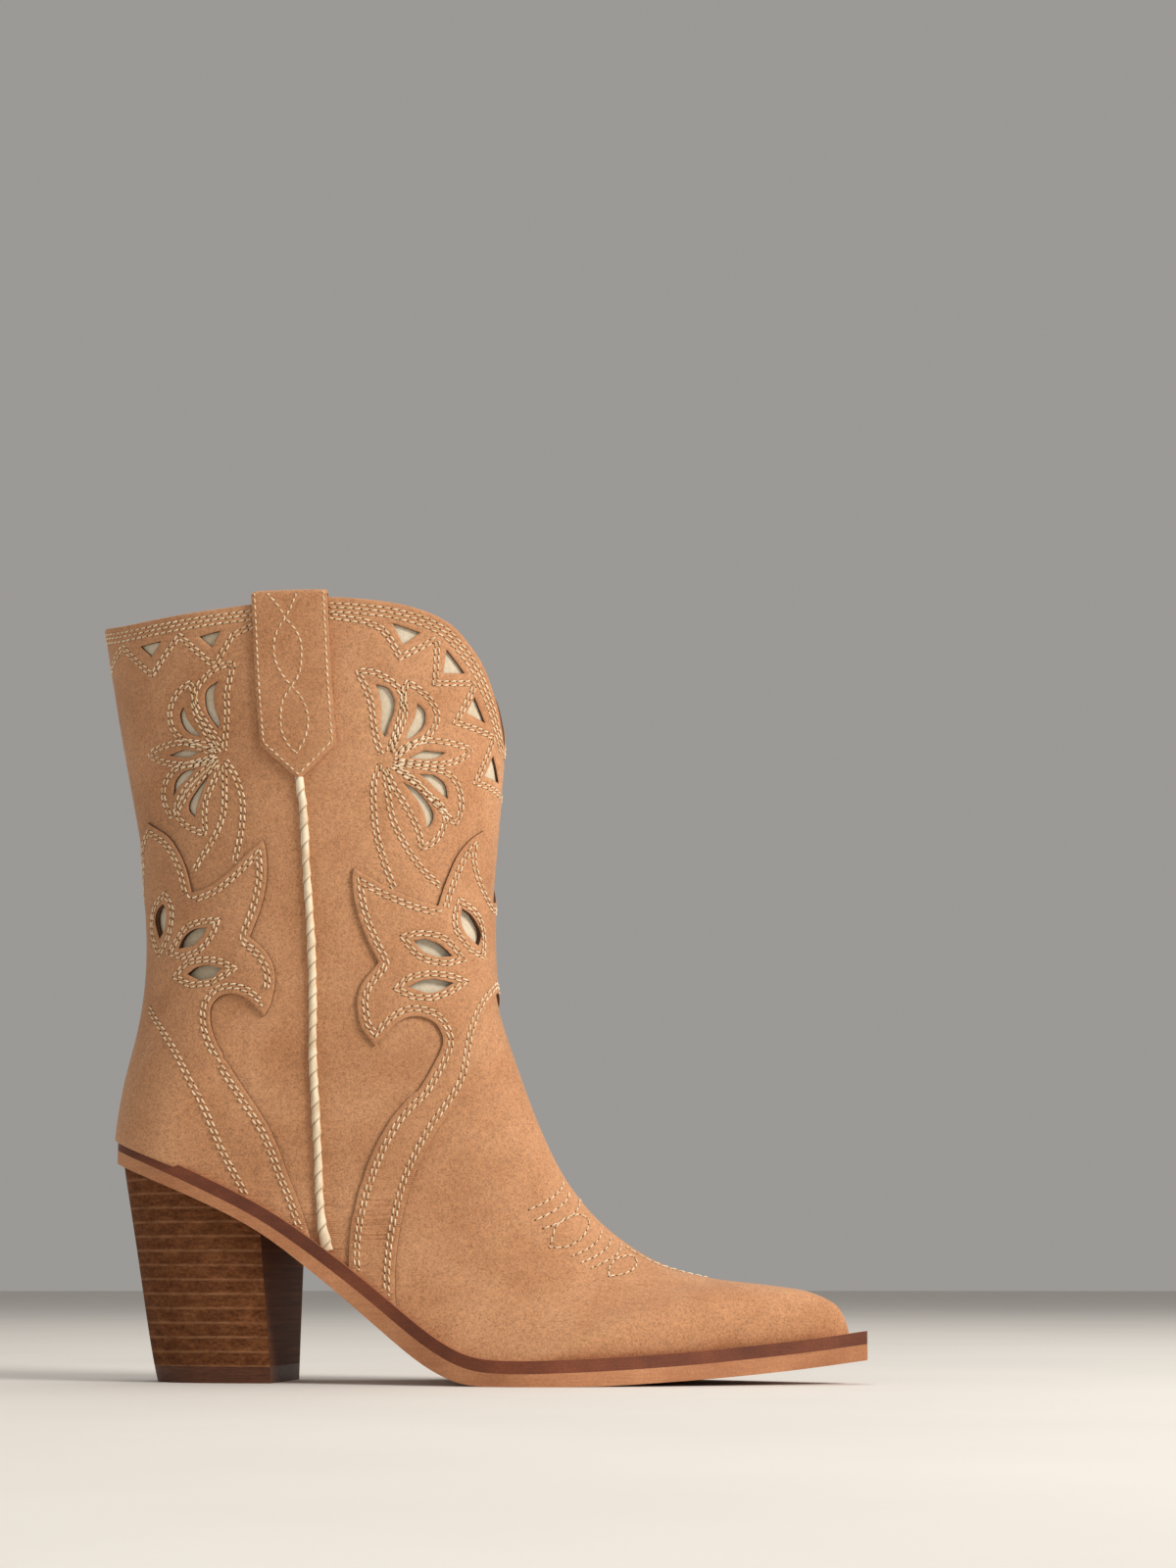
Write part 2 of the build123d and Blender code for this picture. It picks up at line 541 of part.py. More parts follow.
with BuildPart() as shank_rivets:
    for x in (-79.0, -14.0):
        with BuildSketch(sole_frame(x).offset(-SHANK_T)):
            Circle(1.6)
        extrude(amount=SHANK_T + BOARD_T)

with BuildPart() as shank:
    add(shank_body)
    add(shank_rivets.part, mode=Mode.SUBTRACT)

with BuildPart() as heel_nails:
    for x, y in ((-100.0, -10.0), (-100.0, 10.0), (-82.0, -14.0), (-82.0, 14.0)):
        with BuildSketch(sole_frame(x).offset(-24.0)):
            with Locations((0, y)):
                Circle(1.2)
        extrude(amount=24.0 + BOARD_T)

with BuildPart() as heel_screw:
    with BuildSketch(sole_frame(-93.0).offset(-42.0)):
        Circle(2.2)
    extrude(amount=42.0)
    with BuildSketch(sole_frame(-93.0)):
        Circle(4.5)
    extrude(amount=BOARD_T)

with BuildPart() as bottom_filler:
    add(plan_cavity)
    add(welt_band, mode=Mode.INTERSECT)
    add(shank_body, mode=Mode.SUBTRACT)
    add(shank_rivets.part, mode=Mode.SUBTRACT)
    add(heel_nails.part, mode=Mode.SUBTRACT)
    add(heel_screw.part, mode=Mode.SUBTRACT)

with BuildPart() as shank_holed:
    add(shank.part)
    add(heel_screw.part, mode=Mode.SUBTRACT)
    add(heel_nails.part, mode=Mode.SUBTRACT)

with BuildPart() as insole_board:
    add(body_inner)
    add(layer(below(-BOARD_T), FEATHER), mode=Mode.INTERSECT)
    add(shank_rivets.part, mode=Mode.SUBTRACT)
    add(heel_nails.part, mode=Mode.SUBTRACT)
    add(heel_screw.part, mode=Mode.SUBTRACT)

cushion_zone = side_prism([(-170, 20), (-72, 20), (-72, 120), (-170, 120)])
with BuildPart() as heel_cushion:
    add(body_inner)
    add(layer(below(-BOARD_T - CUSHION_T), below(-BOARD_T)), mode=Mode.INTERSECT)
    add(cushion_zone, mode=Mode.INTERSECT)

with BuildPart() as sock_liner:
    add(body_inner)
    add(layer(below(-BOARD_T - CUSHION_T - SOCK_T), below(-BOARD_T)), mode=Mode.INTERSECT)
    add(heel_cushion.part, mode=Mode.SUBTRACT)
    with BuildPart(mode=Mode.PRIVATE) as thin_zone:
        add(layer(below(-BOARD_T - CUSHION_T - SOCK_T - 1), below(-BOARD_T - SOCK_T)))
        add(side_prism([(-70, -20), (170, -20), (170, 120), (-70, 120)]), mode=Mode.INTERSECT)
    add(thin_zone.part, mode=Mode.SUBTRACT)

# ---------------------------------------------------------------------------
# heel: stacked leather lifts and rubber top piece
# ---------------------------------------------------------------------------
# z, back x, half width at the breast, half width at the fullest place
HEEL = [(88.0, -125.0, 28.0, 29.6), (62.0, -120.9, 26.6, 28.0), (36.0, -116.2, 24.0, 25.2), (10.0, -111.5, 21.6, 22.6),
        (0.0, -109.2, 20.8, 21.6)]
BREAST_LEAN = 0.072       # the outer breast edge leans back going up
with BuildPart() as heel_block:
    for z, back, w_breast, w_full in HEEL:
        length = BREAST_X - back
        with BuildSketch(Plane.XY.offset(z)):
            with BuildLine():
                near = [(BREAST_X - z * BREAST_LEAN, -w_breast), (BREAST_X - length * 0.32, -w_full),
                        (BREAST_X - length * 0.66, -w_full * 0.9), (back + length * 0.10, -w_full * 0.56), (back, 0)]
                far = [(x, -y) for x, y in reversed(near)]
                far[-1] = (BREAST_X, w_breast)
                curve = Spline(*shifted(near + far[1:]))
                Line(curve @ 1, curve @ 0)
            make_face()
    loft()
    add(outsole_band, mode=Mode.SUBTRACT)
    add(welt_band, mode=Mode.SUBTRACT)
    with BuildPart(mode=Mode.PRIVATE) as over_sole:
        add(layer([(x, z + 60) for x, z in FEATHER], FEATHER))
    add(over_sole.part, mode=Mode.SUBTRACT)
    add(heel_nails.part, mode=Mode.SUBTRACT)
    add(heel_screw.part, mode=Mode.SUBTRACT)

PIN_SPOTS = [(-102.0, -9.0), (-102.0, 9.0), (-74.0, -13.0), (-74.0, 13.0)]
with BuildPart() as top_piece_nails:
    for x, y in PIN_SPOTS:
        with BuildSketch(Plane.XY.offset(0.8)):
            with Locations((x + SHIFT_X, y)):
                Circle(1.0)
        extrude(amount=13.0)
        with BuildSketch(Plane.XY.offset(0.8)):
            with Locations((x + SHIFT_X, y)):
                Circle(1.9)
        extrude(amount=1.0)
with BuildPart() as nail_wells:
    for x, y in PIN_SPOTS:
        with BuildSketch(Plane.XY.offset(-1)):
            with Locations((x + SHIFT_X, y)):
                Circle(1.9)
        extrude(amount=1.8)

with BuildPart() as outsole_holed:
    add(outsole.part)
    add(heel_nails.part, mode=Mode.SUBTRACT)
    add(heel_screw.part, mode=Mode.SUBTRACT)

with BuildPart() as heel_top_piece:
    add(heel_block.part)
    with BuildSketch(Plane.XY.offset(-1)):
        Rectangle(400, 200)
    extrude(amount=HEEL_TOP_PIECE + 1, mode=Mode.INTERSECT)
    add(top_piece_nails.part, mode=Mode.SUBTRACT)
    add(nail_wells.part, mode=Mode.SUBTRACT)

vamp.part.label = "vamp"
front_shaft_panel.part.label = "front_shaft_panel"
back_shaft_panel.part.label = "back_shaft_panel"
front_wing_overlay.part.label = "front_wing_overlay"
heel_foxing_overlay.part.label = "heel_foxing_overlay"
front_inlay.part.label = "front_inlay"
back_inlay.part.label = "back_inlay"
heel_counter.part.label = "heel_counter"
toe_puff.part.label = "toe_puff"
vamp_interlining.part.label = "vamp_interlining"
vamp_lining.part.label = "vamp_lining"
shaft_lining_front.part.label = "shaft_lining_front"
shaft_lining_back.part.label = "shaft_lining_back"
pull_strap_lateral.part.label = "pull_strap_lateral"
pull_strap_medial.part.label = "pull_strap_medial"
side_piping_lateral.part.label = "side_piping_lateral"
side_piping_medial.part.label = "side_piping_medial"
welt.part.label = "welt"
outsole_holed.part.label = "outsole"
shank_holed.part.label = "shank"
shank_rivets.part.label = "shank_rivets"
bottom_filler.part.label = "bottom_filler"
insole_board.part.label = "insole_board"
heel_cushion.part.label = "heel_cushion"
sock_liner.part.label = "sock_liner"
heel_nails.part.label = "heel_nails"
heel_screw.part.label = "heel_screw"
heel_top_piece.part.label = "heel_top_piece"
top_piece_nails.part.label = "top_piece_nails"

export_step(vamp.part, "parts/vamp.step")
export_step(front_shaft_panel.part, "parts/front_shaft_panel.step")
export_step(back_shaft_panel.part, "parts/back_shaft_panel.step")
export_step(front_wing_overlay.part, "parts/front_wing_overlay.step")
export_step(heel_foxing_overlay.part, "parts/heel_foxing_overlay.step")
export_step(front_inlay.part, "parts/front_inlay.step")
export_step(back_inlay.part, "parts/back_inlay.step")
export_step(heel_counter.part, "parts/heel_counter.step")
export_step(toe_puff.part, "parts/toe_puff.step")
export_step(vamp_interlining.part, "parts/vamp_interlining.step")
export_step(vamp_lining.part, "parts/vamp_lining.step")
export_step(shaft_lining_front.part, "parts/shaft_lining_front.step")
export_step(shaft_lining_back.part, "parts/shaft_lining_back.step")
export_step(pull_strap_lateral.part, "parts/pull_strap_lateral.step")
export_step(pull_strap_medial.part, "parts/pull_strap_medial.step")
export_step(side_piping_lateral.part, "parts/side_piping_lateral.step")
export_step(side_piping_medial.part, "parts/side_piping_medial.step")
export_step(welt.part, "parts/welt.step")
export_step(outsole_holed.part, "parts/outsole.step")
export_step(shank_holed.part, "parts/shank.step")
export_step(shank_rivets.part, "parts/shank_rivets.step")
export_step(bottom_filler.part, "parts/bottom_filler.step")
export_step(insole_board.part, "parts/insole_board.step")
export_step(heel_cushion.part, "parts/heel_cushion.step")
export_step(sock_liner.part, "parts/sock_liner.step")
export_step(heel_nails.part, "parts/heel_nails.step")
export_step(heel_screw.part, "parts/heel_screw.step")
export_step(heel_top_piece.part, "parts/heel_top_piece.step")
export_step(top_piece_nails.part, "parts/top_piece_nails.step")

# the stacked lifts, numbered from the ground up; the last one fills to the sole
for number in range(LIFTS):
    low = HEEL_TOP_PIECE + number * LIFT_T
    high = low + LIFT_T if number < LIFTS - 1 else 100.0
    with BuildPart() as heel_lift:
        add(heel_block.part)
        with BuildSketch(Plane.XY.offset(low)):
            Rectangle(400, 200)
        extrude(amount=high - low, mode=Mode.INTERSECT)
        add(top_piece_nails.part, mode=Mode.SUBTRACT)
    label = "heel_lift_%02d" % (number + 1)
    heel_lift.part.label = label
    export_step(heel_lift.part, "parts/%s.step" % label)
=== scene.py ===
import bpy, bmesh, math, random
import numpy as np
from mathutils import Vector, Matrix
from mathutils.geometry import delaunay_2d_cdt
from mathutils.kdtree import KDTree


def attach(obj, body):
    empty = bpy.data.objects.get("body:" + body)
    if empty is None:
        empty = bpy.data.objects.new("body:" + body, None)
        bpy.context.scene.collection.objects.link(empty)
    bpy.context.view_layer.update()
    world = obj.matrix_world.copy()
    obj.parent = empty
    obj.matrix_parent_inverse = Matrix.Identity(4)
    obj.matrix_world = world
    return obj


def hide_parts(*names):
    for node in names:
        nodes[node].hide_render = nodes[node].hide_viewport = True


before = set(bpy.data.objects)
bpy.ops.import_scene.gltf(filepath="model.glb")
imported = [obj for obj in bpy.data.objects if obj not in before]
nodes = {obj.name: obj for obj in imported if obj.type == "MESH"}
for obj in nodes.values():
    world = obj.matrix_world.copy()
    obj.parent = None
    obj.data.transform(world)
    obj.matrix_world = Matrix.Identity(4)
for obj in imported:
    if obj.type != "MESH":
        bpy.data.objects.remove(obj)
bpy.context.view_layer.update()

MM = 0.001
SHIFT_X = 0.39
SHIFT_Z = 0.0
rng = np.random.default_rng(7)

# ---------------------------------------------------------------- last shape
RUNGS = np.array([
    (15.8, 292, -141, 292, 0.5, 37, 37, 0.56, 0.55, 0.57, 0.56),
    (13.6, 262, -135.2, 262, 0.5, 36.7, 36.7, 0.56, 0.55, 0.57, 0.56),
    (11.7, 227, -128.5, 227, 0.5, 36.2, 36.2, 0.57, 0.55, 0.58, 0.56),
    (10.2, 203, -122.8, 200, 0.5, 35, 35, 0.58, 0.55, 0.6, 0.56),
    (8.6, 183, -118.9, 180, 0.51, 33.8, 33.8, 0.6, 0.55, 0.62, 0.56),
    (7.4, 166, -116.7, 163, 0.52, 32.7, 32.7, 0.62, 0.55, 0.64, 0.56),
    (7.3, 150, -115.9, 148, 0.53, 32, 32, 0.66, 0.55, 0.66, 0.56),
    (8.2, 137, -116.4, 135, 0.56, 31.6, 31.6, 0.7, 0.55, 0.66, 0.56),
    (10.6, 125, -118.6, 120, 0.62, 31.3, 31.3, 0.74, 0.56, 0.64, 0.56),
    (14.1, 114.5, -121.5, 107.5, 0.7, 30.9, 30.9, 0.76, 0.58, 0.62, 0.56),
    (19.4, 99.8, -123.6, 96, 0.77, 30.2, 30.2, 0.76, 0.6, 0.6, 0.56),
    (26, 83.6, -125, 83.5, 0.82, 29.2, 29.2, 0.74, 0.62, 0.58, 0.56),
    (33.6, 69.2, -124, 70, 0.84, 27.46, 27.41, 0.7, 0.62, 0.6, 0.58),
    (42.9, 57.2, -116, 58, 0.83, 27.94, 26.95, 0.66, 0.6, 0.64, 0.6),
    (53.2, 48.2, -101, 50, 0.82, 27.38, 25.15, 0.62, 0.58, 0.7, 0.62),
    (62.6, 42.2, -84, 42, 0.8, 27.42, 24.2, 0.6, 0.56, 0.76, 0.66),
    (72, 38.2, -64, 30, 0.78, 28.85, 24.23, 0.58, 0.55, 0.8, 0.7),
    (82.1, 35.6, -44, 15, 0.77, 32.4, 26.63, 0.57, 0.55, 0.82, 0.72),
    (87.6, 34.7, -20, 0, 0.76, 38.31, 33.03, 0.56, 0.55, 0.83, 0.72),
    (93.5, 34, -5, -5, 0.76, 41.08, 39.69, 0.56, 0.55, 0.84, 0.72),
    (99.8, 33.35, 9, -7.4, 0.76, 38.3, 41.17, 0.55, 0.55, 0.84, 0.72),
    (106, 32.6, 24, -8.2, 0.76, 33.63, 39.39, 0.55, 0.55, 0.84, 0.72),
    (112, 31.8, 38, -8.2, 0.76, 28.64, 35.06, 0.55, 0.55, 0.84, 0.72),
    (117.5, 30.6, 51, -7.7, 0.76, 23.86, 29.76, 0.55, 0.55, 0.84, 0.72),
    (124.6, 27.6, 62, -7, 0.77, 18.62, 23.27, 0.56, 0.56, 0.84, 0.72),
    (128.6, 23.4, 80, -5, 0.78, 12.75, 14.7, 0.6, 0.58, 0.84, 0.72),
    (130.6, 17.6, 92, -3, 0.8, 8.49, 8.65, 0.66, 0.6, 0.82, 0.7),
    (131, 11.5, 99, -1.5, 0.8, 7.64, 7.79, 0.72, 0.62, 0.8, 0.7),
    (130.2, 6, 103, -0.5, 0.78, 6.88, 7.01, 0.74, 0.62, 0.8, 0.7),
], float)


class Spline:
    """Natural cubic spline through points."""
    def __init__(s, t, y):
        t = np.asarray(t, float); y = np.asarray(y, float)
        s.one = y.ndim == 1
        if s.one:
            y = y[:, None]
        n = len(t); h = np.diff(t)
        A = np.zeros((n, n)); r = np.zeros_like(y)
        A[0, 0] = A[-1, -1] = 1
        for i in range(1, n - 1):
            A[i, i - 1] = h[i - 1]; A[i, i] = 2 * (h[i - 1] + h[i]); A[i, i + 1] = h[i]
            r[i] = 6 * ((y[i + 1] - y[i]) / h[i] - (y[i] - y[i - 1]) / h[i - 1])
        s.m = np.linalg.solve(A, r); s.t = t; s.y = y; s.h = h

    def __call__(s, x):
        x = np.asarray(x, float); sh = x.shape; x = x.ravel()
        i = np.clip(np.searchsorted(s.t, x) - 1, 0, len(s.t) - 2)
        h = s.h[i][:, None]; a = ((s.t[i + 1] - x) / s.h[i])[:, None]; b = ((x - s.t[i]) / s.h[i])[:, None]
        r = a * s.y[i] + b * s.y[i + 1] + ((a ** 3 - a) * s.m[i] + (b ** 3 - b) * s.m[i + 1]) * h * h / 6
        return r[:, 0].reshape(sh) if s.one else r.reshape(*sh, -1)


mid = (RUNGS[:, [0, 1]] + RUNGS[:, [2, 3]]) / 2
VT = np.concatenate([[0], np.cumsum(np.linalg.norm(np.diff(mid, axis=0), axis=1)
                                    + 0.5 * np.linalg.norm(np.diff(RUNGS[:, :2], axis=0), axis=1))])
ROW = Spline(VT, RUNGS)
VTAB = np.linspace(VT[0], VT[-1], 2400)
RTAB = ROW(VTAB)
FEATHER = np.array([(-150, 94.3), (-125, 84.6), (-102.5, 76), (-84.7, 68.3), (-73.1, 62.8), (-61.9, 56.6), (-49.3, 48.2),
                    (-36.3, 38.8), (-23.3, 29), (-10.3, 19.2), (-1.1, 13.4), (8.2, 9.6), (19, 8.4), (35.9, 8.6),
                    (52.7, 9.3), (69.2, 10.3), (85.9, 11.6), (102.7, 13.3), (119.7, 15.2), (131.3, 16.8), (150, 19.4)])
feather = Spline(FEATHER[:, 0], FEATHER[:, 1])


def bez(t, a, b, c, d):
    return (1 - t) ** 3 * a + 3 * t * (1 - t) ** 2 * b + 3 * t * t * (1 - t) * c + t ** 3 * d


def surf(u, v):
    """Outer leather face in mm; u is 0 in front, 2 at the back, positive on the lateral side."""
    u = np.asarray(u, float); v = np.asarray(v, float)
    u = (u + 2) % 4 - 2
    f = np.clip(v / VTAB[-1] * (len(VTAB) - 1), 0, len(VTAB) - 1.0001)
    i = f.astype(int); w = (f - i)[..., None]
    R = RTAB[i] * (1 - w) + RTAB[i + 1] * w
    fx, fz, bx, bz, sm, wl, wm, hf, kf, hb, kb = [R[..., k] for k in range(11)]
    a = np.abs(u)
    t1 = np.clip(a, 0, 1); t2 = np.clip(a - 1, 0, 1)
    s = np.where(a <= 1, bez(t1, 0, 0, sm * (1 - kf), sm), bez(t2, sm, sm + (1 - sm) * kb, 1, 1))
    y = np.where(a <= 1, bez(t1, 0, hf, 1, 1), bez(t2, 1, 1, hb, 0))
    y = y * np.where(u >= 0, -wl, wm)
    return np.stack([fx + (bx - fx) * s + SHIFT_X, y, fz + (bz - fz) * s + SHIFT_Z], -1)


def jac(u, v):
    e = 0.004; g = 0.4
    ju = (surf(np.asarray(u) + e, v) - surf(np.asarray(u) - e, v)) / (2 * e)
    vv = np.clip(v, g, VTAB[-1] - g)
    jv = (surf(u, vv + g) - surf(u, vv - g)) / (2 * g)
    return ju, jv


def normal(u, v):
    ju, jv = jac(u, v)
    n = np.cross(ju, jv)
    n /= np.linalg.norm(n, axis=-1, keepdims=True) + 1e-12
    p = surf(u, v)
    f = np.clip(np.asarray(v, float) / VTAB[-1] * (len(VTAB) - 1), 0, len(VTAB) - 1.0001).astype(int)
    R = RTAB[f]
    c = np.stack([(R[..., 0] + R[..., 2]) / 2 + SHIFT_X, 0 * R[..., 0], (R[..., 1] + R[..., 3]) / 2 + SHIFT_Z], -1)
    s = np.sign(((p - c) * n).sum(-1, keepdims=True))
    return n * np.where(s == 0, 1, s)


def offs(uv, d):
    """Points on the surface, raised by d mm (scalar or array)."""
    uv = np.asarray(uv, float)
    d = np.asarray(d, float)
    return surf(uv[..., 0], uv[..., 1]) + normal(uv[..., 0], uv[..., 1]) * (d[..., None] if d.ndim else d)


# ---------------------------------------------------------------- polylines on the surface
def dense(uv, step=0.8, closed=False, smooth=True):
    """Resamples a polyline in (u, v) to even 3-D spacing; smooth = Catmull-Rom through the points."""
    P = [tuple(p) for p in uv]
    if closed:
        P = P + [P[0]]
    P = np.array(P, float)
    if smooth and len(P) > 2:
        if closed:
            E = np.vstack([P[-2], P, P[1]])
        else:
            E = np.vstack([2 * P[0] - P[1], P, 2 * P[-1] - P[-2]])
        out = []
        for i in range(1, len(E) - 2):
            t = np.linspace(0, 1, 16, endpoint=False)[:, None]
            p0, p1, p2, p3 = E[i - 1], E[i], E[i + 1], E[i + 2]
            out.append(0.5 * (2 * p1 + (p2 - p0) * t + (2 * p0 - 5 * p1 + 4 * p2 - p3) * t ** 2
                              + (3 * p1 - p0 - 3 * p2 + p3) * t ** 3))
        P = np.vstack(out + [E[-2][None]])
    else:
        out = []
        for a, b in zip(P, P[1:]):
            out.append(a + (b - a) * np.linspace(0, 1, 12, endpoint=False)[:, None])
        P = np.vstack(out + [P[-1][None]])
    X = surf(P[:, 0], P[:, 1])
    L = np.concatenate([[0], np.cumsum(np.linalg.norm(np.diff(X, axis=0), axis=1))])
    n = max(2, int(round(L[-1] / step)) + 1)
    s = np.linspace(0, L[-1], n)
    Q = np.stack([np.interp(s, L, P[:, k]) for k in (0, 1)], 1)
    return Q[:-1] if closed else Q


def corner_path(uv, corners, step=0.8, closed=True):
    """Smooth between the corner indices, sharp at them."""
    n = len(uv); out = []
    corners = sorted(corners)
    if closed:
        for a, b in zip(corners, corners[1:] + [corners[0] + n]):
            seg = [uv[k % n] for k in range(a, b + 1)]
            out.append(dense(seg, step)[:-1])
        return np.vstack(out)
    cs = sorted(set([0] + corners + [n - 1]))
    for a, b in zip(cs, cs[1:]):
        out.append(dense(uv[a:b + 1], step)[:-1])
    return np.vstack(out + [np.array([uv[-1]])])


def shift_line(Q, d, closed=False):
    """Moves an evenly spaced (u, v) polyline sideways by d mm along the surface, trimming loops."""
    Q = np.asarray(Q, float)
    if closed:
        T = np.roll(Q, -1, 0) - np.roll(Q, 1, 0)
    else:
        T = np.gradient(Q, axis=0)
    ju, jv = jac(Q[:, 0], Q[:, 1])
    t3 = ju * T[:, :1] + jv * T[:, 1:]
    t3 /= np.linalg.norm(t3, axis=1, keepdims=True) + 1e-12
    n = normal(Q[:, 0], Q[:, 1])
    w = np.cross(n, t3)
    a = (ju * ju).sum(1); b = (ju * jv).sum(1); c = (jv * jv).sum(1)
    r1 = (ju * w).sum(1); r2 = (jv * w).sum(1)
    det = a * c - b * b
    du = (c * r1 - b * r2) / det; dv = (a * r2 - b * r1) / det
    R = Q + d * np.stack([du, dv], 1)
    # trims the folds that an inner offset makes at a corner
    X = surf(R[:, 0], R[:, 1]); B = surf(Q[:, 0], Q[:, 1])
    D = np.sqrt(((X[:, None] - B[None]) ** 2).sum(-1)).min(1)
    keep = D > abs(d) * 0.93
    return R[keep]


def mir(Q):
    Q = np.array(Q, float)
    Q[..., 0] *= -1
    return Q


def mir_back(Q):
    Q = np.array(Q, float)
    Q[..., 0] = 4 - Q[..., 0]
    return Q


def inside(pts, poly):
    x, y = pts[:, 0], pts[:, 1]
    res = np.zeros(len(pts), bool)
    px, py = poly[:, 0], poly[:, 1]
    qx, qy = np.roll(px, -1), np.roll(py, -1)
    for a, b, c, d in zip(px, py, qx, qy):
        if b == d:
            continue
        m = (b > y) != (d > y)
        res ^= m & (x < (c - a) * (y - b) / (d - b) + a)
    return res


KU = 42.0          # mm per unit of u in the flat pattern


def near(points, lines, limit=4.0):
    """Distance from 3-D points to the nearest point of a set of 3-D lines."""
    P = np.vstack(lines) if len(lines) else np.zeros((0, 3))
    if not len(P):
        return np.full(len(points), 99.0)
    kd = KDTree(len(P))
    for i, p in enumerate(P):
        kd.insert(p, i)
    kd.balance()
    return np.array([kd.find(p)[2] for p in points])


def mesh_object(name, verts, faces, mat=None, smooth=True, mats=None, face_mats=None, sharp=None):
    me = bpy.data.meshes.new(name)
    me.from_pydata((np.asarray(verts) * MM).tolist(), [], [list(map(int, f)) for f in faces])
    me.validate()
    ob = bpy.data.objects.new(name, me)
    bpy.context.scene.collection.objects.link(ob)
    for m in (mats or ([mat] if mat else [])):
        me.materials.append(m)
    if face_mats is not None and len(face_mats) == len(me.polygons):
        me.polygons.foreach_set("material_index", np.asarray(face_mats, dtype=np.int32))
    if smooth:
        me.polygons.foreach_set("use_smooth", [True] * len(me.polygons))
        if sharp:
            me.set_sharp_from_angle(angle=math.radians(sharp))
    me.update()
    return ob


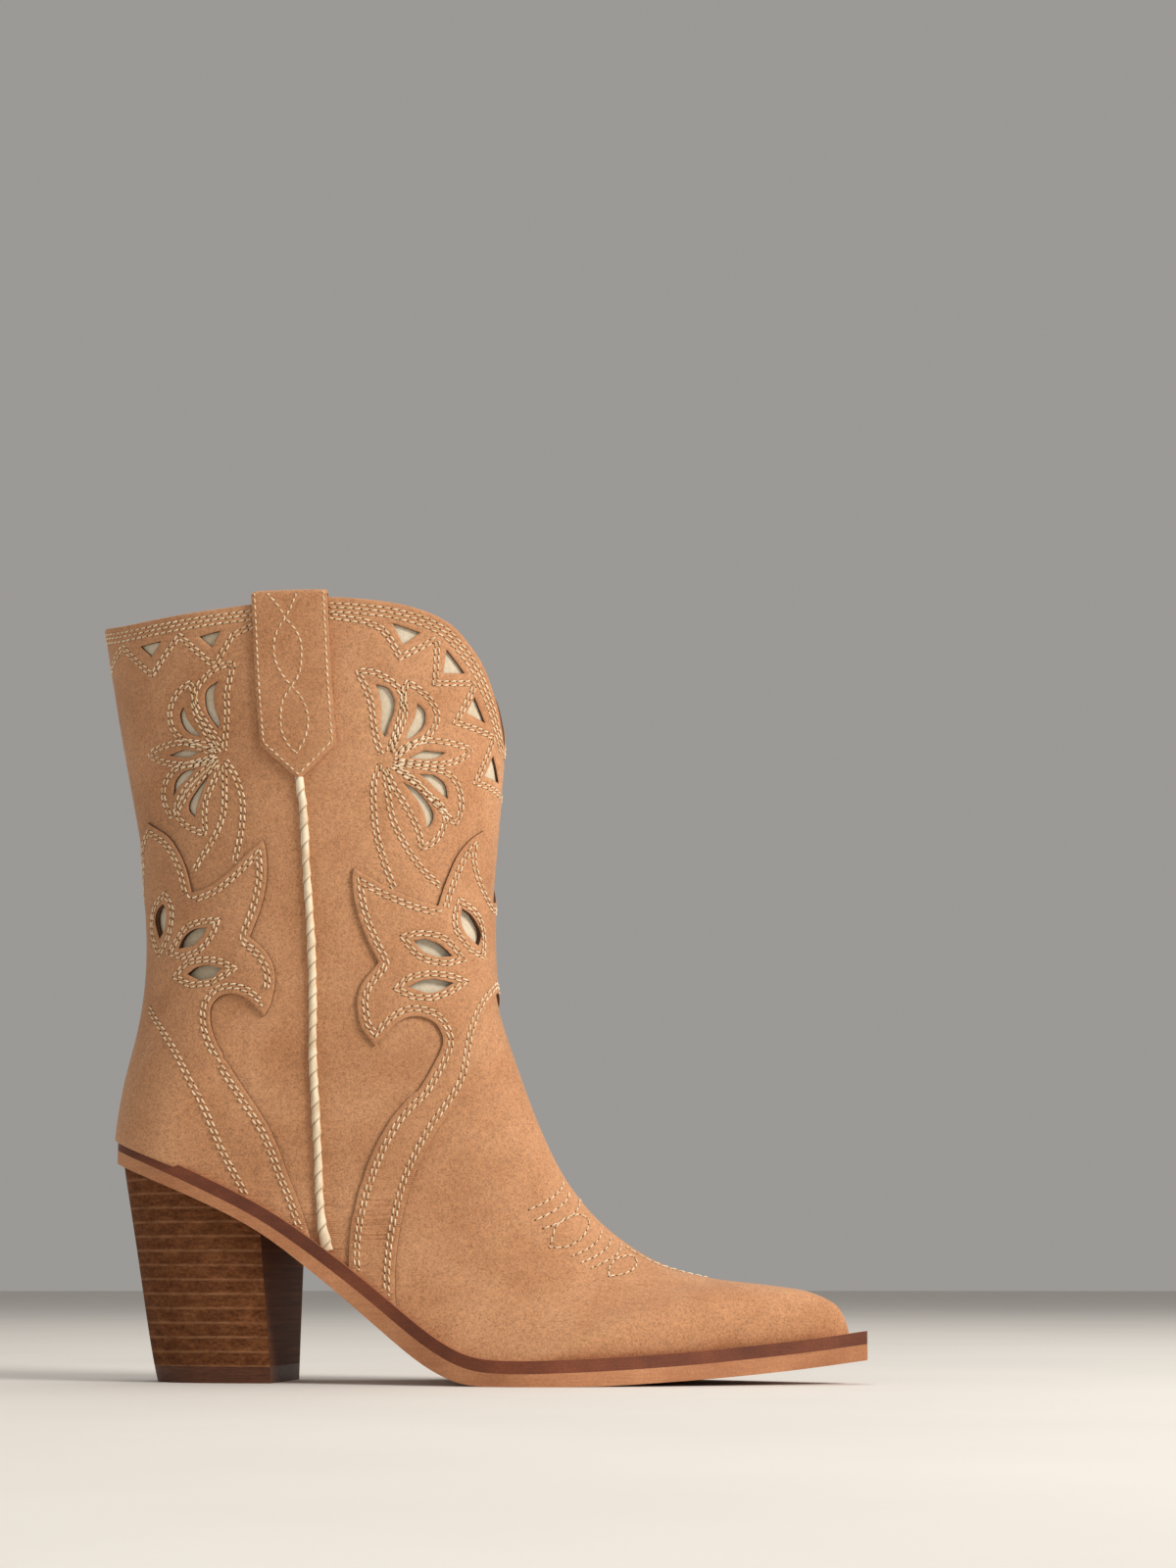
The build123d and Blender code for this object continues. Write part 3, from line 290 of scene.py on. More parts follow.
def sheet_mesh(name, outer, holes, thick, base, mats, grid=1.7, stitches=(), pit=0.22, clip=None, round_edge=0.3,
               waves=0.0, hole_curl=0.0):
    """A leather piece: region of the surface with real thickness, holes and rounded cut edges.
    base = height of its underside over the outer leather face; mats = [face, edge]."""
    loops = [np.asarray(outer, float)] + [np.asarray(h, float) for h in holes]
    flat = [np.stack([l[:, 0] * KU, l[:, 1]], 1) for l in loops]
    # inner rings next to every cut edge
    area = lambda p: 0.5 * np.sum(p[:, 0] * np.roll(p[:, 1], -1) - p[:, 1] * np.roll(p[:, 0], -1))
    extra = []
    for k, l in enumerate(loops):
        sgn = np.sign(area(flat[k]))
        # orientation test on the surface: step inward for the outer loop, outward for holes
        for d in (0.32, 0.9):
            for s in (1, -1):
                r = shift_line(l, s * d, True)
                if not len(r):
                    continue
                f = np.stack([r[:, 0] * KU, r[:, 1]], 1)
                ok = inside(f, flat[0])
                for h in flat[1:]:
                    ok &= ~inside(f, h)
                if ok.mean() > 0.5:
                    extra.append(f[ok])
    for s in stitches:
        f = np.stack([s[:, 0] * KU, s[:, 1]], 1)
        extra.append(f)
        for d in (-0.55, 0.55):
            r = shift_line(s, d)
            extra.append(np.stack([r[:, 0] * KU, r[:, 1]], 1))
    lo = flat[0].min(0); hi = flat[0].max(0)
    gx = np.arange(lo[0], hi[0] + grid, grid); gy = np.arange(lo[1], hi[1] + grid, grid * 0.866)
    G = np.stack(np.meshgrid(gx, gy), -1)
    G[1::2, :, 0] += grid / 2
    G = G.reshape(-1, 2)
    ok = inside(G, flat[0])
    for h in flat[1:]:
        ok &= ~inside(G, h)
    G = G[ok]
    fixed = np.vstack(flat)
    E = np.vstack(extra) if extra else np.zeros((0, 2))
    if len(E):
        ok = inside(E, flat[0])
        for h in flat[1:]:
            ok &= ~inside(E, h)
        E = E[ok]
        # thins the extra points so that no two crowd each other
        kd = KDTree(len(fixed))
        for i, p in enumerate(fixed):
            kd.insert((p[0], p[1], 0), i)
        kd.balance()
        E = E[np.array([kd.find((p[0], p[1], 0))[2] > 0.16 for p in E])]
        cell = {}
        keepE = []
        for p in E:
            key = (int(p[0] // 0.34), int(p[1] // 0.34))
            if key in cell:
                continue
            cell[key] = 1
            keepE.append(p)
        E = np.array(keepE)
        allp = np.vstack([fixed, E])
    else:
        allp = fixed
    kd = KDTree(len(allp))
    for i, p in enumerate(allp):
        kd.insert((p[0], p[1], 0), i)
    kd.balance()
    G = G[np.array([kd.find((p[0], p[1], 0))[2] > grid * 0.5 for p in G])]
    pts = np.vstack([allp, G])
    polys = []; c = 0
    for f in flat:
        polys.append(list(range(c, c + len(f)))); c += len(f)
    edges = []
    for p in polys:
        edges += [(p[i], p[(i + 1) % len(p)]) for i in range(len(p))]
    out = delaunay_2d_cdt([Vector(p) for p in pts], edges, [], 0, 1e-4)
    V = np.array([tuple(v) for v in out[0]]); F = np.array([f for f in out[2] if len(f) == 3])
    cen = V[F].mean(1)
    ok = inside(cen, flat[0])
    for h in flat[1:]:
        ok &= ~inside(cen, h)
    F = F[ok]
    a = V[F]
    ar = (a[:, 1, 0] - a[:, 0, 0]) * (a[:, 2, 1] - a[:, 0, 1]) - (a[:, 2, 0] - a[:, 0, 0]) * (a[:, 1, 1] - a[:, 0, 1])
    F = F[np.abs(ar) > 1e-7]
    ar = ar[np.abs(ar) > 1e-7]
    F[ar < 0] = F[ar < 0][:, ::-1]
    UV = np.stack([V[:, 0] / KU, V[:, 1]], 1)
    P0 = surf(UV[:, 0], UV[:, 1]); N = normal(UV[:, 0], UV[:, 1])
    if clip is not None:
        keepv = clip(P0)
        F = F[keepv[F].any(1)]
    used = np.unique(F)
    remap = -np.ones(len(V), int); remap[used] = np.arange(len(used))
    F = remap[F]; P0 = P0[used]; N = N[used]; UV = UV[used]
    edge_lines = [surf(l[:, 0], l[:, 1]) for l in loops]
    de = near(P0, [np.vstack([dl, (dl + np.roll(dl, -1, 0)) / 2]) for dl in edge_lines])
    h = np.full(len(P0), base + thick, float)
    h -= round_edge * np.exp(-(de / 0.30) ** 1.3)
    if len(stitches):
        sl = []
        for s in stitches:
            X = surf(s[:, 0], s[:, 1]); sl.append(X); sl.append((X[1:] + X[:-1]) / 2)
        ds = near(P0, sl)
        h -= pit * np.exp(-(ds / 0.62) ** 2)
        h += 0.10 * np.exp(-((ds - 1.6) / 0.8) ** 2)
    if hole_curl and len(loops) > 1:
        dh = near(P0, edge_lines[1:])
        h -= hole_curl * np.exp(-(dh / 1.1) ** 2)
    top = P0 + N * h[:, None]
    bot = P0 + N * (np.minimum(h - 0.25, base + 0.02 + 0 * h))[:, None]
    # orientation
    t = top[F[:200]]
    fn = np.cross(t[:, 1] - t[:, 0], t[:, 2] - t[:, 0])
    if (fn * N[F[:200, 0]]).sum() < 0:
        F = F[:, ::-1]
    n = len(top)
    E = np.sort(np.vstack([F[:, [0, 1]], F[:, [1, 2]], F[:, [2, 0]]]), 1)
    Ed = np.vstack([F[:, [0, 1]], F[:, [1, 2]], F[:, [2, 0]]])
    _, inv, cnt = np.unique(E, axis=0, return_inverse=True, return_counts=True)
    B = Ed[cnt[inv.ravel()] == 1]
    side = np.stack([B[:, 1], B[:, 0], B[:, 0] + n, B[:, 1] + n], 1)
    faces = [tuple(f) for f in F] + [tuple(f[::-1] + n) for f in F] + [tuple(s) for s in side]
    fm = [0] * len(F) + [1] * len(F) + [1] * len(side)
    ob = mesh_object(name, np.vstack([top, bot]), faces, mats=mats, face_mats=fm, sharp=55)
    me = ob.data
    # distance to the nearest cut edge; the leather material paints shade from it
    att = me.attributes.new("edge_mm", "FLOAT", "POINT")
    att.data.foreach_set("value", np.concatenate([np.minimum(de, 9), np.minimum(de, 9)]).astype(np.float32))
    return ob


# ---------------------------------------------------------------- stitches
class Threads:
    def __init__(s):
        s.v = []; s.f = []; s.n = 0; s.hv = []; s.hf = []; s.hn = 0

    def row(s, Q, height, pitch=2.85, r=0.31, phase=0.0, slant=0.17, gap=0.62, closed=False):
        """Lockstitches along an (u, v) polyline that lies at the given height."""
        Q = np.asarray(Q, float)
        if closed:
            Q = np.vstack([Q, Q[:1]])
        if len(Q) < 3:
            return
        X = surf(Q[:, 0], Q[:, 1]); N = normal(Q[:, 0], Q[:, 1])
        L = np.concatenate([[0], np.cumsum(np.linalg.norm(np.diff(X, axis=0), axis=1))])
        total = L[-1]
        if total < 2:
            return
        k = max(1, int(round(total / pitch))); p = total / k
        if not closed:
            k += 1; phase = rng.uniform(-0.9, 0.0)
        X = X + N * height
        ip = lambda A, t: np.stack([np.interp(t, L, A[:, c]) for c in range(3)], -1)
        m = 7; side = 8
        for i in range(k):
            j = rng.normal(0, 0.05)
            a = (i + phase) * p + gap / 2 + j; b = (i + 1 + phase) * p - gap / 2 + j
            t = np.clip(np.linspace(a, b, m), 0, total)
            C = ip(X, t); NN = ip(N, t); NN /= np.linalg.norm(NN, axis=1, keepdims=True)
            T = C[-1] - C[0]; ln = np.linalg.norm(T)
            if ln < 0.6:
                continue
            T /= ln
            S = np.cross(NN, T); S /= np.linalg.norm(S, axis=1, keepdims=True)
            x = np.linspace(-1, 1, m)
            bow = (1 - x ** 2)
            lift = -0.16 + 0.34 * bow ** 0.6 + rng.normal(0, 0.015)
            C = C + NN * lift[:, None] + S * (slant * x)[:, None]
            rad = r * (0.42 + 0.58 * np.clip(bow, 0, 1) ** 0.35) * (1 + rng.normal(0, 0.03))
            ang = np.linspace(0, 2 * np.pi, side, endpoint=False)
            ring = C[:, None] + rad[:, None, None] * (np.cos(ang)[None, :, None] * S[:, None] + np.sin(ang)[None, :, None] * NN[:, None] * 0.86)
            s.v.append(ring.reshape(-1, 3))
            o = s.n
            for q in range(m - 1):
                for e in range(side):
                    g = (e + 1) % side
                    s.f.append((o + q * side + e, o + q * side + g, o + (q + 1) * side + g, o + (q + 1) * side + e))
            s.f.append(tuple(o + e for e in range(side))[::-1])
            s.f.append(tuple(o + (m - 1) * side + e for e in range(side)))
            s.n += m * side
            # needle hole at the start of the stitch: a dark disc, painted shade of the hole
            hc = ip(X, np.array([max(a - gap / 2, 0)]))[0]; hn = ip(N, np.array([max(a - gap / 2, 0)]))[0]
            hs = S[0]
            ring = hc + 0.04 * hn - 0.10 * hn + 0.30 * (np.cos(ang)[:, None] * T * 1.25 + np.sin(ang)[:, None] * hs * 0.8)
            s.hv.append(ring); o = s.hn
            s.hf.append(tuple(o + e for e in range(side))); s.hn += side

    def build(s, name, mat, hole_shade_mat):
        if not s.n:
            return None
        nv = s.n
        V = np.vstack(s.v + s.hv)
        faces = s.f + [tuple(i + nv for i in f) for f in s.hf]
        fm = [0] * len(s.f) + [1] * len(s.hf)
        return mesh_object(name, V, faces, mats=[mat, hole_shade_mat], face_mats=fm)


# ---------------------------------------------------------------- pattern, in (u, v) of the lateral side
TOP = [(1.897, 36.1), (1.686, 38.9), (1.534, 39.4), (1.373, 38.4), (1.243, 37.1), (1.097, 35.5), (0.985, 33.8),
    (0.876, 32.6), (0.786, 33.3), (0.683, 34.9), (0.602, 37.1), (0.528, 40.1), (0.482, 42.6), (0.433, 46.1),
    (0.358, 54.2), (0.307, 60.1), (0.245, 68.2), (0.183, 78.4), (0.135, 85.6), (0.09, 93.4), (0.047, 99.9)]
SEAM = [(0.965, 48.8), (0.969, 80.4), (0.979, 111.3), (0.984, 130.0), (0.976, 141.8), (0.974, 146.5), (0.972, 151.2),
    (0.969, 155.8), (0.967, 160.5), (0.964, 165.2), (0.962, 169.9), (0.958, 174.5), (0.955, 179.2), (0.952, 183.8),
    (0.948, 188.5), (0.945, 193.1), (0.942, 197.8), (0.939, 202.5), (0.936, 207.2), (0.931, 211.8), (0.926, 216.5),
    (0.92, 221.2), (0.912, 225.8), (0.903, 230.4), (0.894, 235.0), (0.884, 239.5), (0.873, 244.0), (0.861, 248.5),
    (0.848, 253.0), (0.835, 257.5), (0.821, 262.0), (0.809, 266.5), (0.798, 271.1), (0.789, 275.9), (0.782, 280.7),
    (0.776, 285.6), (0.772, 290.5), (0.768, 295.4), (0.765, 300.3), (0.764, 305.2), (0.762, 310.1), (0.762, 315.0),
    (0.762, 319.8), (0.763, 324.7), (0.765, 329.6), (0.769, 334.6), (0.774, 339.7), (0.781, 345.0), (0.79, 350.5),
    (0.801, 356.5), (0.816, 363.1), (0.835, 370.6), (0.859, 379.1), (0.887, 387.9), (0.917, 396.3), (0.945, 403.7),
    (0.971, 410.2), (0.995, 416.0)]
STRAP = [(1.091, 30.6), (0.873, 27.5), (0.858, 110.0), (0.985, 129.6), (1.097, 111.3)]
ZIG_F = [(0.869, 44.1), (0.76, 46.7), (0.708, 50.3), (0.68, 55.5), (0.643, 66.2), (0.507, 55.1), (0.512, 78.7),
    (0.325, 76.5), (0.423, 98.5), (0.175, 103.8), (0.299, 130.3), (0.031, 134.6)]
ZIG_B = [(1.098, 46.0), (1.164, 50.9), (1.232, 66.4), (1.352, 48.1), (1.497, 67.9), (1.663, 49.3), (1.902, 61.3)]
TRI_F = [((0.667, 46.3), (0.568, 50.8), (0.629, 57.4)), ((0.459, 58.8), (0.371, 70.5), (0.468, 71.5)), ((0.311, 82.5),
    (0.233, 95.8), (0.35, 91.7)), ((0.151, 112.8), (0.053, 127.2), (0.216, 125.2))]
TRI_B = [((1.549, 52.4), (1.438, 51.2), (1.495, 59.0)), ((1.278, 51.0), (1.202, 48.7), (1.237, 57.3))]
CUT_F = [((0.724, 79.4), (0.68, 81.6), (0.658, 90.2), (0.681, 101.6), (0.694, 107.3), (0.707, 103.5), (0.703, 93.0),
    (0.71, 84.4)), ((0.574, 88.6), (0.544, 92.9), (0.543, 99.1), (0.572, 104.6), (0.615, 109.0), (0.61, 104.8),
    (0.579, 95.0)), ((0.605, 118.3), (0.546, 114.1), (0.45, 114.5), (0.497, 117.8), (0.545, 118.7)),
    ((0.561, 126.9), (0.502, 127.0), (0.448, 132.0), (0.43, 139.7), (0.485, 134.8), (0.522, 130.6)),
    ((0.628, 131.5), (0.576, 135.2), (0.518, 142.8), (0.495, 148.7), (0.502, 153.0), (0.519, 155.1),
    (0.533, 148.8), (0.561, 142.0))]
CUT_B = [((1.226, 76.0), (1.269, 80.1), (1.28, 85.5), (1.275, 92.6), (1.244, 100.8), (1.235, 97.5), (1.247, 89.4),
    (1.245, 82.2)), ((1.372, 88.2), (1.391, 92.2), (1.383, 98.5), (1.358, 102.2), (1.315, 104.3), (1.34, 99.8),
    (1.363, 94.3)), ((1.473, 112.0), (1.398, 110.2), (1.322, 111.9), (1.388, 114.3)), ((1.357, 120.0),
    (1.414, 121.2), (1.463, 125.7), (1.481, 132.3), (1.449, 128.5), (1.393, 124.1)), ((1.302, 123.6),
    (1.353, 129.7), (1.4, 136.1), (1.41, 140.8), (1.386, 144.6), (1.371, 139.0), (1.34, 131.6))]
CUT_WF = [((0.321, 196.5), (0.247, 200.6), (0.178, 208.6), (0.205, 215.3), (0.292, 209.4), (0.326, 202.8)),
    ((0.557, 214.0), (0.507, 212.9), (0.438, 215.9), (0.371, 221.5), (0.444, 222.4), (0.513, 219.4)),
    ((0.563, 238.2), (0.513, 234.7), (0.457, 233.7), (0.366, 235.7), (0.434, 240.2), (0.484, 241.5))]
CUT_WB = [((1.611, 188.2), (1.674, 191.7), (1.697, 197.2), (1.652, 207.2), (1.604, 201.5), (1.592, 192.6)),
    ((1.346, 203.8), (1.413, 204.3), (1.474, 208.6), (1.499, 214.1), (1.418, 213.2), (1.372, 208.7)),
    ((1.427, 228.2), (1.38, 225.0), (1.319, 224.1), (1.254, 226.3), (1.29, 231.0), (1.35, 231.8))]
PET_F = [((0.702, 116.5), (0.718, 107.7), (0.727, 98.9), (0.732, 90.1), (0.748, 81.3), (0.774, 73.4), (0.725, 74.1),
    (0.675, 78.3), (0.639, 84.3), (0.627, 93.1), (0.64, 100.3), (0.659, 107.5), (0.68, 114.7)), ((0.675, 115.5),
    (0.653, 107.5), (0.634, 98.5), (0.621, 91.3), (0.618, 84.2), (0.609, 78.8), (0.565, 82.9), (0.525, 87.9),
    (0.501, 94.0), (0.51, 100.3), (0.551, 106.9), (0.609, 111.7), (0.666, 117.3)), ((0.66, 117.3), (0.59, 111.7),
    (0.523, 109.5), (0.435, 110.2), (0.331, 112.3), (0.4, 117.5), (0.479, 120.0), (0.564, 120.1), (0.66, 119.0)),
    ((0.66, 121.7), (0.583, 123.8), (0.507, 124.7), (0.43, 127.8), (0.385, 134.6), (0.37, 143.4), (0.388, 151.0),
    (0.446, 145.6), (0.503, 138.9), (0.562, 132.0), (0.629, 125.2), (0.666, 121.7)), ((0.666, 123.5),
    (0.596, 130.4), (0.532, 138.1), (0.47, 144.0), (0.447, 150.9), (0.477, 159.7), (0.533, 164.7), (0.544, 158.2),
    (0.577, 149.6), (0.62, 141.0), (0.66, 132.3), (0.684, 124.4))]
PET_B = [((1.247, 112.1), (1.273, 105.1), (1.303, 96.3), (1.317, 89.2), (1.307, 82.2), (1.28, 76.3), (1.228, 70.5),
    (1.172, 67.9), (1.19, 76.3), (1.203, 83.3), (1.208, 92.0), (1.218, 100.6), (1.235, 112.3)), ((1.262, 113.7),
    (1.316, 108.9), (1.384, 104.8), (1.425, 98.3), (1.424, 89.6), (1.388, 82.1), (1.333, 76.9), (1.326, 83.8),
    (1.318, 90.9), (1.292, 98.1), (1.255, 107.0), (1.244, 113.0)), ((1.26, 112.0), (1.33, 108.4), (1.418, 107.4),
    (1.498, 108.4), (1.573, 110.3), (1.481, 114.8), (1.384, 116.8), (1.311, 116.5), (1.257, 115.4)),
    ((1.265, 116.7), (1.356, 118.2), (1.445, 119.9), (1.506, 125.8), (1.529, 133.1), (1.506, 141.6),
    (1.452, 136.7), (1.402, 130.5), (1.333, 123.8), (1.259, 117.4)), ((1.267, 118.7), (1.35, 125.3), (1.42, 132.0),
    (1.466, 140.0), (1.43, 147.5), (1.349, 153.0), (1.347, 145.1), (1.332, 136.5), (1.296, 128.4), (1.25, 118.8))]
TAIL_F = [((0.714, 121.8), (0.736, 132.3), (0.734, 146.2), (0.718, 160.1), (0.683, 173.9), (0.639, 187.7)),
    ((0.696, 124.4), (0.684, 137.5), (0.661, 151.4), (0.603, 165.2), (0.526, 177.2), (0.44, 185.6))]
TAIL_B = [((1.235, 119.0), (1.244, 132.4), (1.262, 146.1), (1.311, 157.8), (1.407, 172.5)), ((1.227, 117.4),
    (1.198, 126.1), (1.181, 138.2), (1.191, 153.8), (1.223, 170.9))]
LENS_F = [((0.342, 191.2), (0.371, 199.1), (0.366, 207.6), (0.326, 213.4), (0.261, 219.0), (0.162, 221.8),
    (0.148, 213.1), (0.165, 204.6), (0.226, 197.4)), ((0.612, 211.6), (0.551, 209.5), (0.468, 209.7),
    (0.392, 212.9), (0.295, 223.5), (0.399, 226.6), (0.494, 225.2), (0.561, 220.1)), ((0.619, 239.1),
    (0.567, 232.2), (0.477, 229.8), (0.382, 230.9), (0.285, 234.4), (0.367, 240.7), (0.46, 245.4),
    (0.547, 244.5))]
LENS_B = [((1.582, 181.9), (1.534, 190.4), (1.538, 199.3), (1.568, 208.2), (1.645, 217.4), (1.717, 208.5),
    (1.749, 198.9), (1.695, 188.6)), ((1.279, 199.7), (1.364, 199.3), (1.455, 202.0), (1.508, 207.8),
    (1.577, 216.3), (1.467, 219.9), (1.374, 217.1), (1.313, 209.5)), ((1.515, 229.1), (1.444, 221.8),
    (1.354, 219.9), (1.271, 221.3), (1.18, 226.7), (1.229, 231.0), (1.291, 234.7), (1.398, 234.9))]
WING = [(0.211, 154.8), (0.294, 160.0), (0.365, 169.0), (0.416, 183.0), (0.45, 196.0), (0.57, 191.9), (0.689, 185.1),
    (0.797, 176.0), (0.796, 184.9), (0.775, 200.1), (0.735, 213.6), (0.685, 225.4), (0.727, 234.6), (0.735, 243.8),
    (0.705, 256.4), (0.667, 264.1), (0.642, 268.5), (0.598, 258.7), (0.559, 254.6), (0.512, 254.1), (0.456, 257.6),
    (0.43, 263.9), (0.429, 269.0), (0.453, 275.7), (0.52, 290.9), (0.542, 294.0), (0.562, 297.3), (0.58, 300.9),
    (0.597, 304.6), (0.612, 308.5), (0.625, 312.6), (0.638, 316.8), (0.65, 321.2), (0.661, 325.7), (0.673, 330.4),
    (0.684, 335.2), (0.696, 340.2), (0.71, 345.4), (0.725, 351.0), (0.741, 356.9), (0.762, 363.6), (0.786, 371.3),
    (0.815, 380.0), (0.849, 389.1), (0.885, 398.0), (0.92, 405.8), (0.953, 412.7), (0.984, 418.9)]
WING_R = [(0.211, 154.8), (0.221, 157.5), (0.226, 168.8), (0.166, 181.3), (0.06, 190.6)]
BAND_R = [(0.055, 240.6), (0.141, 245.7), (0.192, 250.6), (0.228, 255.6), (0.255, 260.5), (0.277, 265.4),
    (0.295, 270.2), (0.311, 274.8), (0.326, 279.3), (0.342, 283.7), (0.36, 287.9), (0.381, 291.9), (0.403, 295.7),
    (0.426, 299.5), (0.449, 303.3), (0.47, 307.0), (0.491, 310.9), (0.509, 314.9), (0.526, 319.0), (0.543, 323.3),
    (0.558, 327.6), (0.573, 332.1), (0.588, 336.8), (0.603, 341.7), (0.618, 346.9), (0.635, 352.4), (0.654, 358.3),
    (0.675, 364.9), (0.701, 372.5), (0.731, 381.0), (0.765, 390.0), (0.801, 398.8), (0.837, 406.9), (0.871, 414.1),
    (0.902, 420.7), (0.93, 426.8), (0.954, 432.5), (0.975, 437.7), (0.994, 442.4)]
FOX = [(1.669, 144.0), (1.543, 152.3), (1.487, 160.3), (1.444, 171.2), (1.417, 184.5), (1.325, 181.9),
    (1.237, 174.9), (1.152, 164.7), (1.108, 159.6), (1.096, 166.7), (1.092, 180.0), (1.11, 193.9), (1.153, 210.3),
    (1.1, 216.1), (1.048, 224.3), (1.014, 233.5), (0.992, 244.6), (0.989, 250.7), (1.051, 245.7), (1.116, 241.1),
    (1.175, 239.4), (1.226, 240.5), (1.247, 245.3), (1.218, 251.7), (1.18, 256.1), (1.132, 260.4), (1.076, 264.6),
    (1.015, 268.9), (0.98, 273.3), (0.957, 277.8), (0.937, 282.3), (0.919, 286.8), (0.903, 291.4), (0.888, 295.9),
    (0.874, 300.3), (0.862, 304.8), (0.851, 309.2), (0.842, 313.7), (0.835, 318.3), (0.829, 322.9), (0.825, 327.6),
    (0.823, 332.4), (0.822, 337.3), (0.822, 342.2), (0.824, 347.3), (0.829, 352.7), (0.837, 358.6), (0.849, 365.3),
    (0.866, 373.0), (0.89, 381.6), (0.917, 390.2), (0.944, 398.1)]
FOX_L = [(1.669, 144.0), (1.694, 154.4), (1.72, 167.4), (1.733, 177.7), (1.738, 182.9)]
FOX_IN = [(1.687, 242.7), (1.63, 246.0), (1.576, 249.2), (1.525, 252.3), (1.473, 255.4), (1.423, 258.5), (1.372, 261.6),
    (1.321, 264.9), (1.271, 268.3), (1.221, 271.9), (1.171, 275.6), (1.123, 279.5), (1.075, 283.5), (1.027, 287.4),
    (0.994, 291.4), (0.982, 295.3), (0.97, 299.1), (0.96, 302.9), (0.951, 306.8), (0.943, 310.6), (0.936, 314.3),
    (0.929, 318.0), (0.924, 321.6), (0.918, 325.2), (0.914, 328.7), (0.91, 332.2), (0.907, 335.7), (0.905, 339.3),
    (0.904, 343.0), (0.905, 346.7), (0.907, 350.7)]
BUG = [((0.361, 358.5), (0.076, 339.7)), ((0.367, 365.8), (0.085, 345.7)), ((0.379, 373.3), (0.031, 350.2)),
    ((0.427, 390.1), (0.323, 371.2), (0.233, 363.2), (0.151, 360.8), (0.128, 364.7), (0.196, 372.1),
    (0.291, 382.0), (0.372, 389.9), (0.419, 391.4)), ((0.41, 401.2), (0.132, 374.5)), ((0.421, 409.7),
    (0.128, 380.7)), ((0.424, 416.8), (0.109, 386.6)), ((0.43, 428.9), (0.35, 414.5), (0.263, 403.9),
    (0.174, 399.8), (0.169, 403.9), (0.27, 418.0), (0.359, 426.4)), ((0.094, 389.8), (0.072, 420.0),
    (0.0, 448.9))]
BRAID = [((1.042, 30.7), (1.015, 37.2), (0.995, 44.0)), ((0.961, 31.2), (0.975, 37.5), (0.995, 44.0)), ((0.995, 44.0),
    (1.021, 51.6), (1.031, 58.7), (1.029, 66.8), (1.01, 74.9), (0.985, 80.9)), ((0.995, 44.0), (0.963, 51.9),
    (0.951, 59.1), (0.954, 68.9), (0.963, 75.1), (0.985, 80.9)), ((0.985, 80.9), (1.013, 88.2), (1.024, 96.8),
    (1.024, 104.6), (1.008, 111.5), (0.985, 116.0)), ((0.985, 80.9), (0.956, 87.5), (0.942, 95.4), (0.944, 102.4),
    (0.958, 109.2), (0.985, 116.0))]


# ---------------------------------------------------------------- regions of the upper
_gu = np.linspace(0, 2, 401); _gv = np.linspace(0, VTAB[-1], 901)
_GU, _GV = np.meshgrid(_gu, _gv)
_GP = surf(_GU, _GV)


def inv_xz(x, z):
    """Lateral (u, v) whose side view is (x, z)."""
    x = x + SHIFT_X; z = z + SHIFT_Z
    d = (_GP[..., 0] - x) ** 2 + (_GP[..., 2] - z) ** 2
    i = np.unravel_index(np.argmin(d), d.shape)
    u, v = _GU[i], _GV[i]
    for _ in range(12):
        p = surf(u, v); ju, jv = jac(np.array(u), np.array(v))
        A = np.array([[ju[0], jv[0]], [ju[2], jv[2]]]); r = np.array([x - p[0], z - p[2]])
        if abs(np.linalg.det(A)) < 1e-3:
            break
        s = np.clip(np.linalg.solve(A, r), [-0.05, -4], [0.05, 4])
        u = float(np.clip(u + s[0], 0, 2)); v = float(np.clip(v + s[1], 0, VTAB[-1]))
    return (u, v)


def above(P, margin=0.0):
    return P[..., 2] - SHIFT_Z - feather(P[..., 0] - SHIFT_X) - margin


def contour(margin):
    """Feather line in (u, v), from the back centre to the toe."""
    out = []
    f = above(_GP, margin)
    for u in np.linspace(2, 1.02, 60):
        vs = np.linspace(250, 420, 700); g = above(surf(np.full(700, u), vs), margin)
        k = np.where(g < 0)[0]
        if len(k):
            out.append((u, vs[k[0]]))
    v_start = out[-1][1]
    last = None
    for v in np.arange(v_start + 1.0, VTAB[-1] - 1, 1.0):
        us = np.linspace(0, 1.6, 900); g = above(surf(us, np.full(900, v)), margin)
        k = np.where(g < 0)[0]
        if not len(k) or k[0] == 0:
            break
        out.append((us[k[0]], v))
    out.append((0.0, out[-1][1] + 1.0))
    return np.array(out)


FLOOR = contour(-1.3)
top_pts = np.array(TOP); top_pts = np.vstack([[2.0, 36.0], top_pts])
_o = np.argsort(top_pts[:, 0])
TOPF = Spline(top_pts[_o, 0], top_pts[_o, 1])
SEAM_E = np.vstack([[0.955, 0.0], [0.960, 26.0], np.array(SEAM)])
VAMP_XZ = [(7.9, 149.0), (6.0, 146.0), (2.0, 138.5), (-0.2, 124.0), (-1.6, 112.0), (-6.6, 99.5), (-17.5, 82.0),
           (-26.0, 63.5), (-29.0, 48.5), (-28.6, 34.0), (-28.5, 26.0)]
VS = np.array([inv_xz(*p) for p in VAMP_XZ])
VS[0, 0] = 0.0


def below_cut(line):
    """Part of a (u, v) line that is above the welt."""
    P = surf(line[:, 0], line[:, 1])
    bad = np.where((above(P, -1.3) <= 0) & (np.arange(len(line)) > len(line) // 3))[0]
    return line[:bad[0]] if len(bad) else line


def floor_part(p, q):
    """Run of the feather line between the points nearest to p and q."""
    P = surf(FLOOR[:, 0], FLOOR[:, 1])
    i = np.argmin(((P - surf(*p)) ** 2).sum(1)); j = np.argmin(((P - surf(*q)) ** 2).sum(1))
    return FLOOR[i:j + 1] if i <= j else FLOOR[j:i + 1][::-1]


